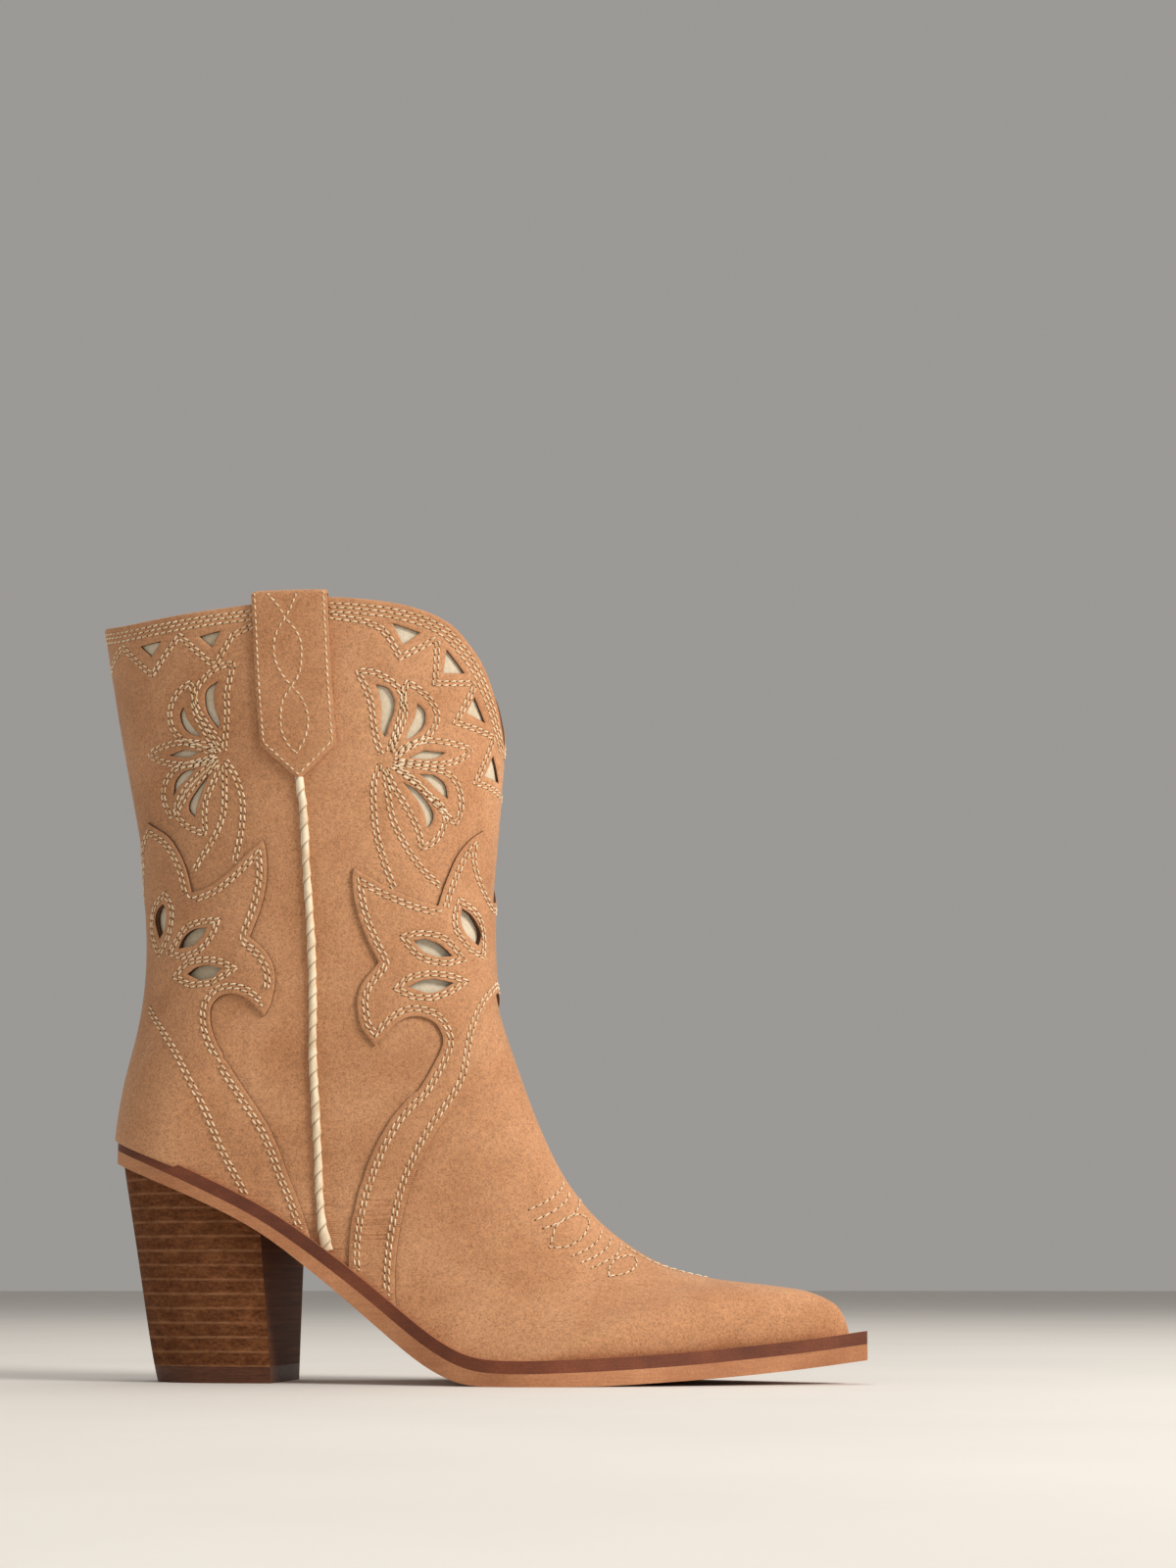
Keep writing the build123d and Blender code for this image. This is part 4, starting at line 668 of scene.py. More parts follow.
DIP = Spline([0, 0.03, 0.08, 0.15, 0.25, 0.38, 0.52, 0.66, 0.8, 2.0], [0, 1.2, 5.4, 8.6, 9.4, 8.6, 5.2, 1.9, 0.0, 0.0])


def dip(u):
    """How much lower (in v) the inner side's front scallop lies."""
    u = (np.asarray(u) + 2) % 4 - 2
    return np.where((u < 0) & (u > -0.8), DIP(np.clip(-u, 0, 0.8)), 0.0)


def top_run(u0, u1, n=260):
    u = np.linspace(u0, u1, n)
    return np.stack([u, TOPF(np.abs((u + 2) % 4 - 2)) + dip(u)], 1)


def mirf(Q):
    """Inner side of the front panel: mirrored, and following the lower scallop near the top."""
    q = mir(Q).copy()
    depth = q[:, 1] - TOPF(np.abs(q[:, 0]))
    q[:, 1] += dip(q[:, 0]) * np.clip(1 - depth / 55.0, 0, 1)
    return q


def clean(loop, step=0.9):
    """Even spacing and no doubled points, corners kept by dense sampling."""
    L = [loop[0]]
    X = surf(loop[:, 0], loop[:, 1]); last = X[0]
    for p, x in zip(loop[1:], X[1:]):
        if np.linalg.norm(x - last) >= step * 0.45:
            L.append(p); last = x
    if np.linalg.norm(surf(*L[0]) - surf(*L[-1])) < step * 0.45:
        L.pop()
    return np.array(L)


seam_line = below_cut(dense(SEAM_E, 0.8))
k_top = np.argmin(np.abs(seam_line[:, 1] - TOPF(np.abs(seam_line[:, 0]))))
seam_line = seam_line[k_top:]
vamp_line = below_cut(dense(VS, 0.8))

us = seam_line[0, 0]
half = np.vstack([top_run(0, us, 200), seam_line[1:], floor_part(seam_line[-1], vamp_line[-1]), vamp_line[::-1]])
front_loop = clean(np.vstack([half, mirf(half)[::-1]]))
half = np.vstack([vamp_line, floor_part(vamp_line[-1], (0.0, FLOOR[-1][1]))])
vamp_loop = clean(np.vstack([half, mir(half)[::-1]]))
half = np.vstack([top_run(2, us, 200), seam_line[1:], floor_part(seam_line[-1], (2.0, FLOOR[0][1]))])
back_loop = clean(np.vstack([half, mir_back(half)[::-1]]))

# overlays
wing_far = corner_path(WING, [0, 4, 7, 11, 16], 0.7, closed=False)
wing = below_cut(wing_far)
v166 = float(np.interp(-166.2, -surf(np.zeros(900), np.linspace(0, 560, 900))[:, 2], np.linspace(0, 560, 900)))
v134 = float(np.interp(-134.0, -surf(np.zeros(900), np.linspace(0, 560, 900))[:, 2], np.linspace(0, 560, 900)))
wr = dense([(0.0, v166)] + [WING_R[4], WING_R[3], WING_R[2], WING_R[0]], 0.7)
br_far = dense([(0.0, v134)] + list(BAND_R), 0.7)
br = below_cut(br_far)
half = np.vstack([wr[:-1], wing, floor_part(wing[-1], br[-1]), br[::-1]])
wing_loop = clean(np.vstack([half, mir(half)[::-1]]), 0.8)
half = np.vstack([wr[:-1], wing_far, br_far[::-1]])
wing_sew = clean(np.vstack([half, mir(half)[::-1]]), 0.6)

fox_far = corner_path(FOX, [0, 4, 8, 12, 17], 0.7, closed=False)
fox = below_cut(fox_far)
v170 = float(np.interp(-168.0, -surf(np.full(900, 2.0), np.linspace(0, 330, 900))[:, 2], np.linspace(0, 330, 900)))
fl = dense([(2.0, v170), (1.90, FOX_L[3][1] - 3), (1.845, FOX_L[2][1]), (1.80, FOX_L[1][1]), FOX[0]], 0.7)
half = np.vstack([fl[:-1], fox, floor_part(fox[-1], (2.0, FLOOR[0][1]))])
fox_loop = clean(np.vstack([half, mir_back(half)[::-1]]), 0.8)
low = np.stack([np.linspace(fox_far[-1][0], 2.0, 60), np.linspace(fox_far[-1][1], 372.0, 60)], 1)
half = np.vstack([fl[:-1], fox_far, low[1:]])
fox_sew = clean(np.vstack([half, mir_back(half)[::-1]]), 0.6)


def flat_area(p):
    p = np.asarray(p, float)
    x, y = p[:, 0] * KU, p[:, 1]
    return 0.5 * abs(np.sum(x * np.roll(y, -1) - y * np.roll(x, -1)))


def outward(Q, d):
    a = shift_line(Q, d, True); b = shift_line(Q, -d, True)
    return a if flat_area(a) > flat_area(b) else b


def inward(Q, d):
    a = shift_line(Q, d, True); b = shift_line(Q, -d, True)
    return a if flat_area(a) < flat_area(b) else b


def corner_ids(poly, limit=50):
    P = np.array(poly, float) * [KU, 1]
    a = P - np.roll(P, 1, 0); b = np.roll(P, -1, 0) - P
    c = (a * b).sum(1) / (np.linalg.norm(a, axis=1) * np.linalg.norm(b, axis=1) + 1e-9)
    ang = np.degrees(np.arccos(np.clip(c, -1, 1)))
    ids = [i for i in range(len(P)) if ang[i] > limit]
    return ids or [int(np.argmax(ang))]


def cut(poly, grow=0.0):
    Q = corner_path(list(poly), corner_ids(poly), 0.35, True)
    Q = clean(Q, 0.5)
    return outward(Q, grow) if grow else Q


front_cuts = [cut(p) for p in TRI_F + CUT_F]
back_cuts = [cut(p) for p in TRI_B + CUT_B]
wing_cuts = [cut(p) for p in CUT_WF]
fox_cuts = [cut(p) for p in CUT_WB]
front_cuts += [mirf(c) for c in front_cuts]
back_cuts += [mir_back(c) for c in back_cuts]
wing_cuts += [mir(c) for c in wing_cuts]
fox_cuts += [mir_back(c) for c in fox_cuts]
wing_base_cuts = [outward(c, 0.35) for c in wing_cuts]
fox_base_cuts = [outward(c, 0.35) for c in fox_cuts]

# ---------------------------------------------------------------- stitch rows
def doubles(Q, d=1.45, closed=False):
    return [shift_line(Q, -d / 2, closed), shift_line(Q, d / 2, closed)]


F_rows, B_rows, W_rows, X_rows, V_rows = [], [], [], [], []      # (line, closed)
topf = top_run(us, -us, 700); topb = top_run(us, 4 - us, 700)
for d in (2.3, 3.75, 5.4):
    for base, rows in ((topf, F_rows), (topb, B_rows)):
        b = dense(base, 0.8, smooth=False)
        a, c = shift_line(b, d), shift_line(b, -d)
        rows.append((a if a[:, 1].mean() > c[:, 1].mean() else c, False))
zf = np.vstack([dense(ZIG_F, 0.5, smooth=False)])
zf = np.vstack([zf, mirf(zf)[::-1]])
zb = dense(list(ZIG_B) + [(2.0, 44.0)], 0.5, smooth=False)
zb = np.vstack([zb, mir_back(zb)[::-1]])
for q in (zf, zb):
    for d in (0.0, 1.45):
        (F_rows if q is zf else B_rows).append((shift_line(q, d) if d else q, False))
for pets, tails, rows, M in ((PET_F, TAIL_F, F_rows, mirf), (PET_B, TAIL_B, B_rows, mir_back)):
    for p in pets:
        ids = [i for i in corner_ids(p, 40) if i not in (0, len(p) - 1)] or [int(len(p) // 2)]
        q = corner_path(list(p), ids, 0.6, False)
        q2 = [shift_line(q, 1.45), shift_line(q, -1.45)]
        q2 = max(q2, key=flat_area)
        for r in (q, q2):
            rows += [(r, False), (M(r), False)]
    for p in tails:
        q = dense(p, 0.6)
        for r in doubles(q):
            rows += [(r, False), (M(r), False)]


def above_only(rows, margin=2.0):
    out = []
    for q, c in rows:
        P = surf(q[:, 0], q[:, 1])
        out.append((q[above(P, margin) > 0], c))
    return [r for r in out if len(r[0]) > 4]


def split_runs(q, gap=3.0):
    """Cuts a line wherever two following points are far apart."""
    X = surf(q[:, 0], q[:, 1]); d = np.linalg.norm(np.diff(X, axis=0), axis=1)
    cuts = np.where(d > gap)[0] + 1
    return [s for s in np.split(q, cuts) if len(s) > 4]


for loop, rows in ((wing_sew, W_rows), (fox_sew, X_rows)):
    for d in (2.0, 3.45):
        q = inward(loop, d)
        q = np.vstack([q, q[:1]])
        P = surf(q[:, 0], q[:, 1])
        ok = above(P, 0.7) > 0
        # starts the line where it leaves the welt
        if not ok.all():
            s = int(np.argmax(~ok))
            q = np.roll(q[:-1], -s, 0); ok = np.roll(ok[:-1], -s)
        rows += [(r, False) for r in split_runs(q[ok])]
for lens, rows, M in ((LENS_F, W_rows, mir), (LENS_B, X_rows, mir_back)):
    for p in lens:
        ids = corner_ids(p, 45)
        q = corner_path(list(p), ids, 0.6, True)
        for r in (q, inward(q, 1.35)):
            rows += [(r, True), (M(r), True)]
fi = dense(FOX_IN, 0.7)
for r in doubles(fi):
    X_rows += [(r, False), (mir_back(r), False)]
X_rows = above_only(X_rows, 0.5)
for p in BUG:
    if len(p) > 5:
        q = corner_path(list(p), corner_ids(p, 60)[:1], 0.5, True); c = True
    else:
        q = dense(p, 0.5); c = False
    V_rows += [(q, c), (mir(q), c)]

# ---------------------------------------------------------------- materials
def srgb(r, g, b):
    f = lambda c: (c / 255 / 12.92) if c / 255 <= 0.04045 else ((c / 255 + 0.055) / 1.055) ** 2.4
    return (f(r), f(g), f(b), 1.0)


class Mat:
    def __init__(s, name):
        s.m = bpy.data.materials.new(name); s.m.use_nodes = True
        s.t = s.m.node_tree; s.n = s.t.nodes; s.l = s.t.links
        s.b = next(n for n in s.n if n.type == "BSDF_PRINCIPLED")
        s.co = s.n.new("ShaderNodeTexCoord").outputs["Object"]

    def mapping(s, scale=(1, 1, 1), rot=(0, 0, 0)):
        n = s.n.new("ShaderNodeMapping"); n.inputs["Scale"].default_value = scale; n.inputs["Rotation"].default_value = rot
        s.l.new(s.co, n.inputs["Vector"]); return n.outputs["Vector"]

    def noise(s, scale, detail=3, rough=0.5, vec=None, dist=0.0):
        n = s.n.new("ShaderNodeTexNoise"); n.inputs["Scale"].default_value = scale
        n.inputs["Detail"].default_value = detail; n.inputs["Roughness"].default_value = rough
        n.inputs["Distortion"].default_value = dist
        s.l.new(vec or s.co, n.inputs["Vector"]); return n.outputs["Fac"]

    def voronoi(s, scale, feature="F1", vec=None, rand=1.0):
        n = s.n.new("ShaderNodeTexVoronoi"); n.feature = feature; n.inputs["Scale"].default_value = scale
        n.inputs["Randomness"].default_value = rand
        s.l.new(vec or s.co, n.inputs["Vector"]); return n.outputs["Distance"]

    def ramp(s, fac, stops):
        n = s.n.new("ShaderNodeValToRGB"); e = n.color_ramp.elements
        while len(e) > len(stops):
            e.remove(e[-1])
        while len(e) < len(stops):
            e.new(0.5)
        for k, (p, c) in enumerate(stops):
            e[k].position = p; e[k].color = c if len(c) == 4 else (*c, 1)
        s.l.new(fac, n.inputs["Fac"]); return n.outputs["Color"]

    def mix(s, fac, a, b, mode="MIX"):
        n = s.n.new("ShaderNodeMix"); n.data_type = "RGBA"; n.blend_type = mode
        if isinstance(fac, (int, float)):
            n.inputs[0].default_value = fac
        else:
            s.l.new(fac, n.inputs[0])
        for sock, v in ((n.inputs[6], a), (n.inputs[7], b)):
            if isinstance(v, tuple):
                sock.default_value = v
            else:
                s.l.new(v, sock)
        return n.outputs[2]

    def math(s, op, a, b=0.0, c=None, clamp=False):
        n = s.n.new("ShaderNodeMath"); n.operation = op; n.use_clamp = clamp
        for sock, v in zip(n.inputs, (a, b, c)):
            if v is None:
                continue
            if isinstance(v, (int, float)):
                sock.default_value = v
            else:
                s.l.new(v, sock)
        return n.outputs[0]

    def rng(s, v, a, b, c, d):
        n = s.n.new("ShaderNodeMapRange"); n.inputs[1].default_value = a; n.inputs[2].default_value = b
        n.inputs[3].default_value = c; n.inputs[4].default_value = d
        s.l.new(v, n.inputs[0]); return n.outputs[0]

    def attr(s, name):
        n = s.n.new("ShaderNodeAttribute"); n.attribute_name = name; return n.outputs["Fac"]

    def xyz(s):
        n = s.n.new("ShaderNodeSeparateXYZ"); s.l.new(s.co, n.inputs[0]); return n.outputs

    def nrm(s):
        g = s.n.new("ShaderNodeNewGeometry"); n = s.n.new("ShaderNodeSeparateXYZ"); s.l.new(g.outputs["True Normal"], n.inputs[0]); return n.outputs

    def bump(s, h, dist, strength=1.0, prev=None):
        n = s.n.new("ShaderNodeBump"); n.inputs["Distance"].default_value = dist; n.inputs["Strength"].default_value = strength
        s.l.new(h, n.inputs["Height"])
        if prev:
            s.l.new(prev, n.inputs["Normal"])
        return n.outputs["Normal"]

    def out(s, color=None, rough=None, normal=None, **kw):
        if color is not None:
            if isinstance(color, tuple):
                s.b.inputs["Base Color"].default_value = color
            else:
                s.l.new(color, s.b.inputs["Base Color"])
        if rough is not None:
            if isinstance(rough, (int, float)):
                s.b.inputs["Roughness"].default_value = rough
            else:
                s.l.new(rough, s.b.inputs["Roughness"])
        if normal is not None:
            s.l.new(normal, s.b.inputs["Normal"])
        for k, v in kw.items():
            s.b.inputs[k.replace("_", " ")].default_value = v
        return s.m


def nubuck(name, base, dark, light, edge_painted_shade=0.35):
    m = Mat(name)
    fine = m.noise(1500, 4, 0.62)
    grain = m.noise(620, 3, 0.6)
    cloud = m.noise(42, 4, 0.55, dist=0.4)
    wide = m.noise(11, 3, 0.5)
    c = m.ramp(cloud, [(0.30, dark), (0.52, base), (0.74, light)])
    sp = m.ramp(fine, [(0.34, (0.54, 0.52, 0.50, 1)), (0.50, (1, 1, 1, 1)), (0.68, (1.20, 1.19, 1.17, 1))])
    c = m.mix(0.7, c, m.mix(1.0, c, sp, "MULTIPLY"))
    g2 = m.ramp(grain, [(0.36, (0.84, 0.82, 0.80, 1)), (0.60, (1.05, 1.05, 1.04, 1))])
    c = m.mix(0.75, c, m.mix(1.0, c, g2, "MULTIPLY"))
    w = m.ramp(wide, [(0.35, (0.94, 0.93, 0.92, 1)), (0.65, (1.05, 1.05, 1.05, 1))])
    c = m.mix(0.8, c, m.mix(1.0, c, w, "MULTIPLY"))
    # painted shade: slightly darker next to every cut edge
    e = m.rng(m.attr("edge_mm"), 0.0, 1.1, edge_painted_shade, 0.0)
    c = m.mix(e, c, dark)
    h = m.math("ADD", m.math("MULTIPLY", fine, 0.6), m.math("MULTIPLY", grain, 0.5))
    b1 = m.bump(cloud, 0.0009, 0.35)
    b2 = m.bump(h, 0.00022, 0.9, b1)
    r = m.rng(grain, 0.3, 0.7, 0.66, 0.86)
    return m.out(c, r, b2, Sheen_Weight=0.22, Sheen_Roughness=0.45, Sheen_Tint=(1.0, 0.86, 0.72, 1), Specular_IOR_Level=0.28)


def smooth_leather(name, base, dark, scale=900, rough=(0.45, 0.62), bumpd=0.00012, spec=0.4):
    m = Mat(name)
    v = m.voronoi(scale); n = m.noise(scale * 0.6, 4, 0.6); cl = m.noise(38, 3, 0.5)
    c = m.ramp(cl, [(0.3, dark), (0.6, base)])
    c = m.mix(0.5, c, m.mix(1.0, c, m.ramp(n, [(0.35, (0.78, 0.77, 0.75, 1)), (0.62, (1.06, 1.06, 1.05, 1))]), "MULTIPLY"))
    h = m.math("ADD", m.math("MULTIPLY", v, 0.7), m.math("MULTIPLY", n, 0.6))
    return m.out(c, m.rng(n, 0.3, 0.7, rough[0], rough[1]), m.bump(h, bumpd, 0.9), Specular_IOR_Level=spec)


TAN = srgb(197, 144, 104); TAN_D = srgb(185, 131, 91); TAN_L = srgb(205, 153, 113)
M_leather = nubuck("tan_nubuck", TAN, TAN_D, TAN_L)
# painted shade: cut edges get a dark brown that stands in for the shadow on the leather's thickness
M_edge_shade = smooth_leather("cut_edge_painted_shade", srgb(92, 60, 38), srgb(66, 42, 26), 1600, (0.7, 0.9))
M_edge_tan = smooth_leather("cut_edge_tan", srgb(198, 148, 106), srgb(160, 112, 74), 1600, (0.7, 0.9))
M_cream = smooth_leather("cream_inlay", srgb(226, 212, 188), srgb(210, 192, 164), 1300, (0.55, 0.75), 0.0001, 0.3)
M_lining = smooth_leather("lining_skin", srgb(206, 170, 132), srgb(186, 148, 110), 700, (0.5, 0.7), 0.00014, 0.3)
M_sock = smooth_leather("sock_skin", srgb(198, 156, 116), srgb(176, 134, 96), 800, (0.45, 0.62))

m = Mat("cream_piping")
n1 = m.noise(700, 4, 0.6); n2 = m.noise(130, 3, 0.55, dist=0.8)
c = m.ramp(n2, [(0.3, srgb(206, 180, 146)), (0.55, srgb(232, 214, 184)), (0.75, srgb(240, 226, 200))])
# painted shade: dark brown in the groove between the strip's wraps
c = m.mix(m.rng(m.attr("groove_and_painted_shade"), 0.0, 1.0, 0.0, 0.75), c, srgb(128, 92, 62))
M_piping = m.out(c, 0.55, m.bump(m.math("ADD", m.math("MULTIPLY", n1, 0.5), n2), 0.00022, 0.8), Specular_IOR_Level=0.35)

m = Mat("cream_thread")
n1 = m.noise(2600, 2, 0.5); n2 = m.noise(240, 2, 0.5)
c = m.ramp(n2, [(0.35, srgb(222, 192, 150)), (0.65, srgb(246, 226, 194))])
c = m.mix(0.6, c, m.mix(1.0, c, m.ramp(n1, [(0.35, (0.74, 0.72, 0.70, 1)), (0.6, (1.05, 1.05, 1.05, 1))]), "MULTIPLY"))
M_thread = m.out(c, 0.5, m.bump(n1, 0.00012, 0.8), Sheen_Weight=0.3, Sheen_Roughness=0.4, Specular_IOR_Level=0.35)
# painted shade: needle holes are dark discs standing in for the shadow inside each hole
m = Mat("needle_hole_painted_shade")
M_hole_shade = m.out(m.ramp(m.noise(900, 2), [(0.3, srgb(60, 36, 22)), (0.7, srgb(98, 62, 38))]), 0.9, Specular_IOR_Level=0.1)

m = Mat("welt_leather")
st = m.noise(1.0, 5, 0.6, vec=m.mapping((120, 300, 2200)))
n1 = m.noise(1500, 4, 0.65); n2 = m.noise(55, 3, 0.5)
c = m.ramp(n2, [(0.3, srgb(96, 48, 28)), (0.6, srgb(124, 66, 40)), (0.8, srgb(140, 78, 50))])
c = m.mix(0.6, c, m.mix(1.0, c, m.ramp(n1, [(0.36, (0.66, 0.62, 0.6, 1)), (0.66, (1.22, 1.18, 1.14, 1))]), "MULTIPLY"))
c = m.mix(0.5, c, m.mix(1.0, c, m.ramp(st, [(0.35, (0.8, 0.78, 0.76, 1)), (0.65, (1.1, 1.08, 1.06, 1))]), "MULTIPLY"))
# painted highlight: faces that point up are mixed toward a lighter tan, standing in for light catching the welt's top
welt_top_highlight = m.rng(m.nrm()[2], 0.55, 0.85, 0.0, 0.75)
c = m.mix(welt_top_highlight, c, srgb(176, 116, 80))
M_welt = m.out(c, m.rng(n1, 0.3, 0.7, 0.5, 0.7), m.bump(m.math("ADD", n1, m.math("MULTIPLY", st, 0.7)), 0.00016, 0.9), Specular_IOR_Level=0.4)

m = Mat("outsole_leather")
st = m.noise(1.0, 5, 0.6, vec=m.mapping((90, 240, 1600)))
n1 = m.noise(1300, 4, 0.62); n2 = m.noise(40, 3, 0.55)
c = m.ramp(n2, [(0.3, srgb(176, 118, 80)), (0.6, srgb(198, 140, 100)), (0.8, srgb(210, 154, 114))])
c = m.mix(0.6, c, m.mix(1.0, c, m.ramp(n1, [(0.36, (0.76, 0.73, 0.70, 1)), (0.64, (1.1, 1.08, 1.06, 1))]), "MULTIPLY"))
c = m.mix(0.6, c, m.mix(1.0, c, m.ramp(st, [(0.36, (0.84, 0.81, 0.78, 1)), (0.62, (1.05, 1.04, 1.03, 1))]), "MULTIPLY"))
M_outsole = m.out(c, m.rng(n1, 0.3, 0.7, 0.55, 0.75), m.bump(m.math("ADD", n1, m.math("MULTIPLY", st, 0.6)), 0.00014, 0.9), Specular_IOR_Level=0.35)

# stacked heel: rough lifts with painted highlights as thin light lines at the joints; the breast is shaved smooth and
# stained dark
m = Mat("heel_stack")
x, y, z = m.xyz()
wob = m.noise(34, 3, 0.6)
zz = m.math("ADD", m.math("MULTIPLY", z, 1000.0), m.math("MULTIPLY", m.math("SUBTRACT", wob, 0.5), 1.1))
ph = m.math("FRACT", m.math("DIVIDE", m.math("SUBTRACT", zz, 5.6), 4.87))
tri = m.math("ABSOLUTE", m.math("SUBTRACT", ph, 0.5))          # 0.5 at a joint, 0 in the middle of a lift
fib = m.noise(1.0, 6, 0.72, vec=m.mapping((620, 620, 1100)))
fib2 = m.noise(1.0, 5, 0.7, vec=m.mapping((150, 150, 420)))
sp = m.noise(1500, 5, 0.7)
c = m.ramp(fib2, [(0.28, srgb(88, 50, 26)), (0.5, srgb(118, 72, 42)), (0.74, srgb(146, 96, 60))])
c = m.mix(0.85, c, m.mix(1.0, c, m.ramp(fib, [(0.34, (0.52, 0.48, 0.44, 1)), (0.52, (1, 1, 1, 1)), (0.70, (1.42, 1.38, 1.32, 1))]), "MULTIPLY"))
c = m.mix(0.5, c, m.mix(1.0, c, m.ramp(sp, [(0.36, (0.6, 0.57, 0.54, 1)), (0.66, (1.3, 1.27, 1.22, 1))]), "MULTIPLY"))
# painted highlight: lighter lines at the lift joints, where each lift's edge catches light
line = m.math("MULTIPLY", m.rng(tri, 0.36, 0.47, 0.0, 1.0), m.rng(m.noise(160, 3, 0.6), 0.34, 0.62, 0.35, 1.0))
c1 = m.mix(m.math("MULTIPLY", line, 0.62), c, srgb(176, 126, 90))
sm = m.noise(1.0, 4, 0.6, vec=m.mapping((30, 30, 900)))
d = m.ramp(sm, [(0.3, srgb(74, 40, 22)), (0.6, srgb(96, 56, 32)), (0.8, srgb(110, 66, 40))])
# painted highlight of the joints, fainter on the breast
d = m.mix(m.math("MULTIPLY", line, 0.16), d, srgb(140, 92, 62))
front = m.rng(m.nrm()[0], 0.80, 0.95, 0.0, 1.0)
c2 = m.mix(front, c1, d)
hgt = m.math("ADD", m.math("MULTIPLY", fib, 1.0), m.math("MULTIPLY", sp, 0.5))
hgt = m.math("ADD", hgt, m.math("MULTIPLY", line, 0.5))
rough_side = m.math("SUBTRACT", 1.0, front)
hgt = m.math("MULTIPLY", hgt, m.math("ADD", m.math("MULTIPLY", rough_side, 0.92), 0.08))
M_stack = m.out(c2, m.rng(front, 0, 1, 0.88, 0.66), m.bump(hgt, 0.00085, 1.0), Specular_IOR_Level=0.14)

m = Mat("top_piece_rubber")
st = m.noise(1.0, 5, 0.65, vec=m.mapping((220, 220, 1500)))
sp = m.noise(1300, 3, 0.6)
c = m.ramp(st, [(0.3, srgb(66, 34, 18)), (0.55, srgb(90, 50, 28)), (0.8, srgb(108, 64, 40))])
c = m.mix(0.5, c, m.mix(1.0, c, m.ramp(sp, [(0.36, (0.75, 0.72, 0.7, 1)), (0.66, (1.15, 1.13, 1.1, 1))]), "MULTIPLY"))
M_top = m.out(c, 0.52, m.bump(m.math("ADD", st, m.math("MULTIPLY", sp, 0.5)), 0.0002, 0.8), Specular_IOR_Level=0.35)

m = Mat("bright_steel")
M_steel = m.out(m.ramp(m.noise(300, 3), [(0.3, (0.35, 0.35, 0.36, 1)), (0.7, (0.6, 0.6, 0.61, 1))]), 0.34, Metallic=1.0)
m = Mat("fibre_board")
M_board = m.out(m.ramp(m.noise(240, 5, 0.7), [(0.3, srgb(150, 126, 98)), (0.7, srgb(190, 168, 138))]), 0.9, m.bump(m.noise(900, 4, 0.7), 0.0002))
m = Mat("cork_sheet")
M_cork = m.out(m.ramp(m.voronoi(420), [(0.1, srgb(120, 84, 52)), (0.6, srgb(186, 146, 100))]), 0.9, m.bump(m.voronoi(420), 0.0003))
m = Mat("foam_pad")
M_foam = m.out(m.ramp(m.voronoi(1500), [(0.1, srgb(170, 160, 140)), (0.6, srgb(214, 204, 184))]), 0.95, m.bump(m.voronoi(1500), 0.0002))

# ---------------------------------------------------------------- leather pieces
G = 1.9
keep_upper = lambda P: above(P, -1.6) > 0


def piece(ob, nodes_=()):
    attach(ob, "root")
    if nodes_:
        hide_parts(*nodes_)
    return ob


only = lambda rows: [r[0] for r in rows]
vamp = sheet_mesh("vamp_leather", vamp_loop, [], 1.35, -1.35, [M_leather, M_edge_shade], G, only(V_rows), 0.20, keep_upper)
piece(vamp, ["vamp"])
front = sheet_mesh("front_panel_leather", front_loop, front_cuts + wing_base_cuts, 1.35, -1.35, [M_leather, M_edge_shade], G,
                   only(F_rows), 0.26, keep_upper, hole_curl=0.15)
piece(front, ["front_shaft_panel"])
back = sheet_mesh("back_panel_leather", back_loop, back_cuts + fox_base_cuts, 1.35, -1.35, [M_leather, M_edge_shade], G,
                  only(B_rows), 0.26, keep_upper, hole_curl=0.15)
piece(back, ["back_shaft_panel"])
wingo = sheet_mesh("front_wing_leather", wing_loop, wing_cuts, 1.15, 0.05, [M_leather, M_edge_shade], G * 0.85,
                   only(W_rows), 0.26, keep_upper, hole_curl=0.1)
piece(wingo, ["front_wing_overlay"])
foxo = sheet_mesh("heel_foxing_leather", fox_loop, fox_cuts, 1.15, 0.05, [M_leather, M_edge_shade], G * 0.85,
                  only(X_rows), 0.26, keep_upper, hole_curl=0.1)
piece(foxo, ["heel_foxing_overlay"])


def lower_cut(loop, v_max):
    Q = np.array(loop); Q[:, 1] = np.minimum(Q[:, 1], v_max)
    return clean(Q)


inl_f = sheet_mesh("front_inlay_skin", lower_cut(front_loop, 262.0), [], 0.55, -1.98, [M_cream, M_cream], 3.0, (), 0, keep_upper)
piece(inl_f, ["front_inlay"])
inl_b = sheet_mesh("back_inlay_skin", lower_cut(back_loop, 250.0), [], 0.55, -1.98, [M_cream, M_cream], 3.0, (), 0, keep_upper)
piece(inl_b, ["back_inlay"])
lin_f = sheet_mesh("front_lining_skin", front_loop, [], 0.95, -2.97, [M_lining, M_lining], 3.0, (), 0, keep_upper)
piece(lin_f, ["shaft_lining_front"])
lin_b = sheet_mesh("back_lining_skin", back_loop, [], 0.95, -2.97, [M_lining, M_lining], 3.0, (), 0, keep_upper)
piece(lin_b, ["shaft_lining_back"])
lin_v = sheet_mesh("vamp_lining_skin", vamp_loop, [], 0.95, -2.97, [M_lining, M_lining], 3.0, (), 0, keep_upper)
piece(lin_v, ["vamp_lining"])

# ---------------------------------------------------------------- stitches
def sew(name, rows, height, **kw):
    t = Threads()
    for q, c in rows:
        for r in ([q] if c else split_runs(q)):
            t.row(r, height, closed=c, **kw)
    ob = t.build(name, M_thread, M_hole_shade)
    if ob:
        piece(ob, ())
    return ob


sew("front_panel_stitching", F_rows, -0.08)
sew("back_panel_stitching", B_rows, -0.08)
sew("front_wing_stitching", W_rows, 1.12)
sew("heel_foxing_stitching", X_rows, 1.12)
sew("toe_stitching", V_rows, -0.02, pitch=3.0, r=0.28)

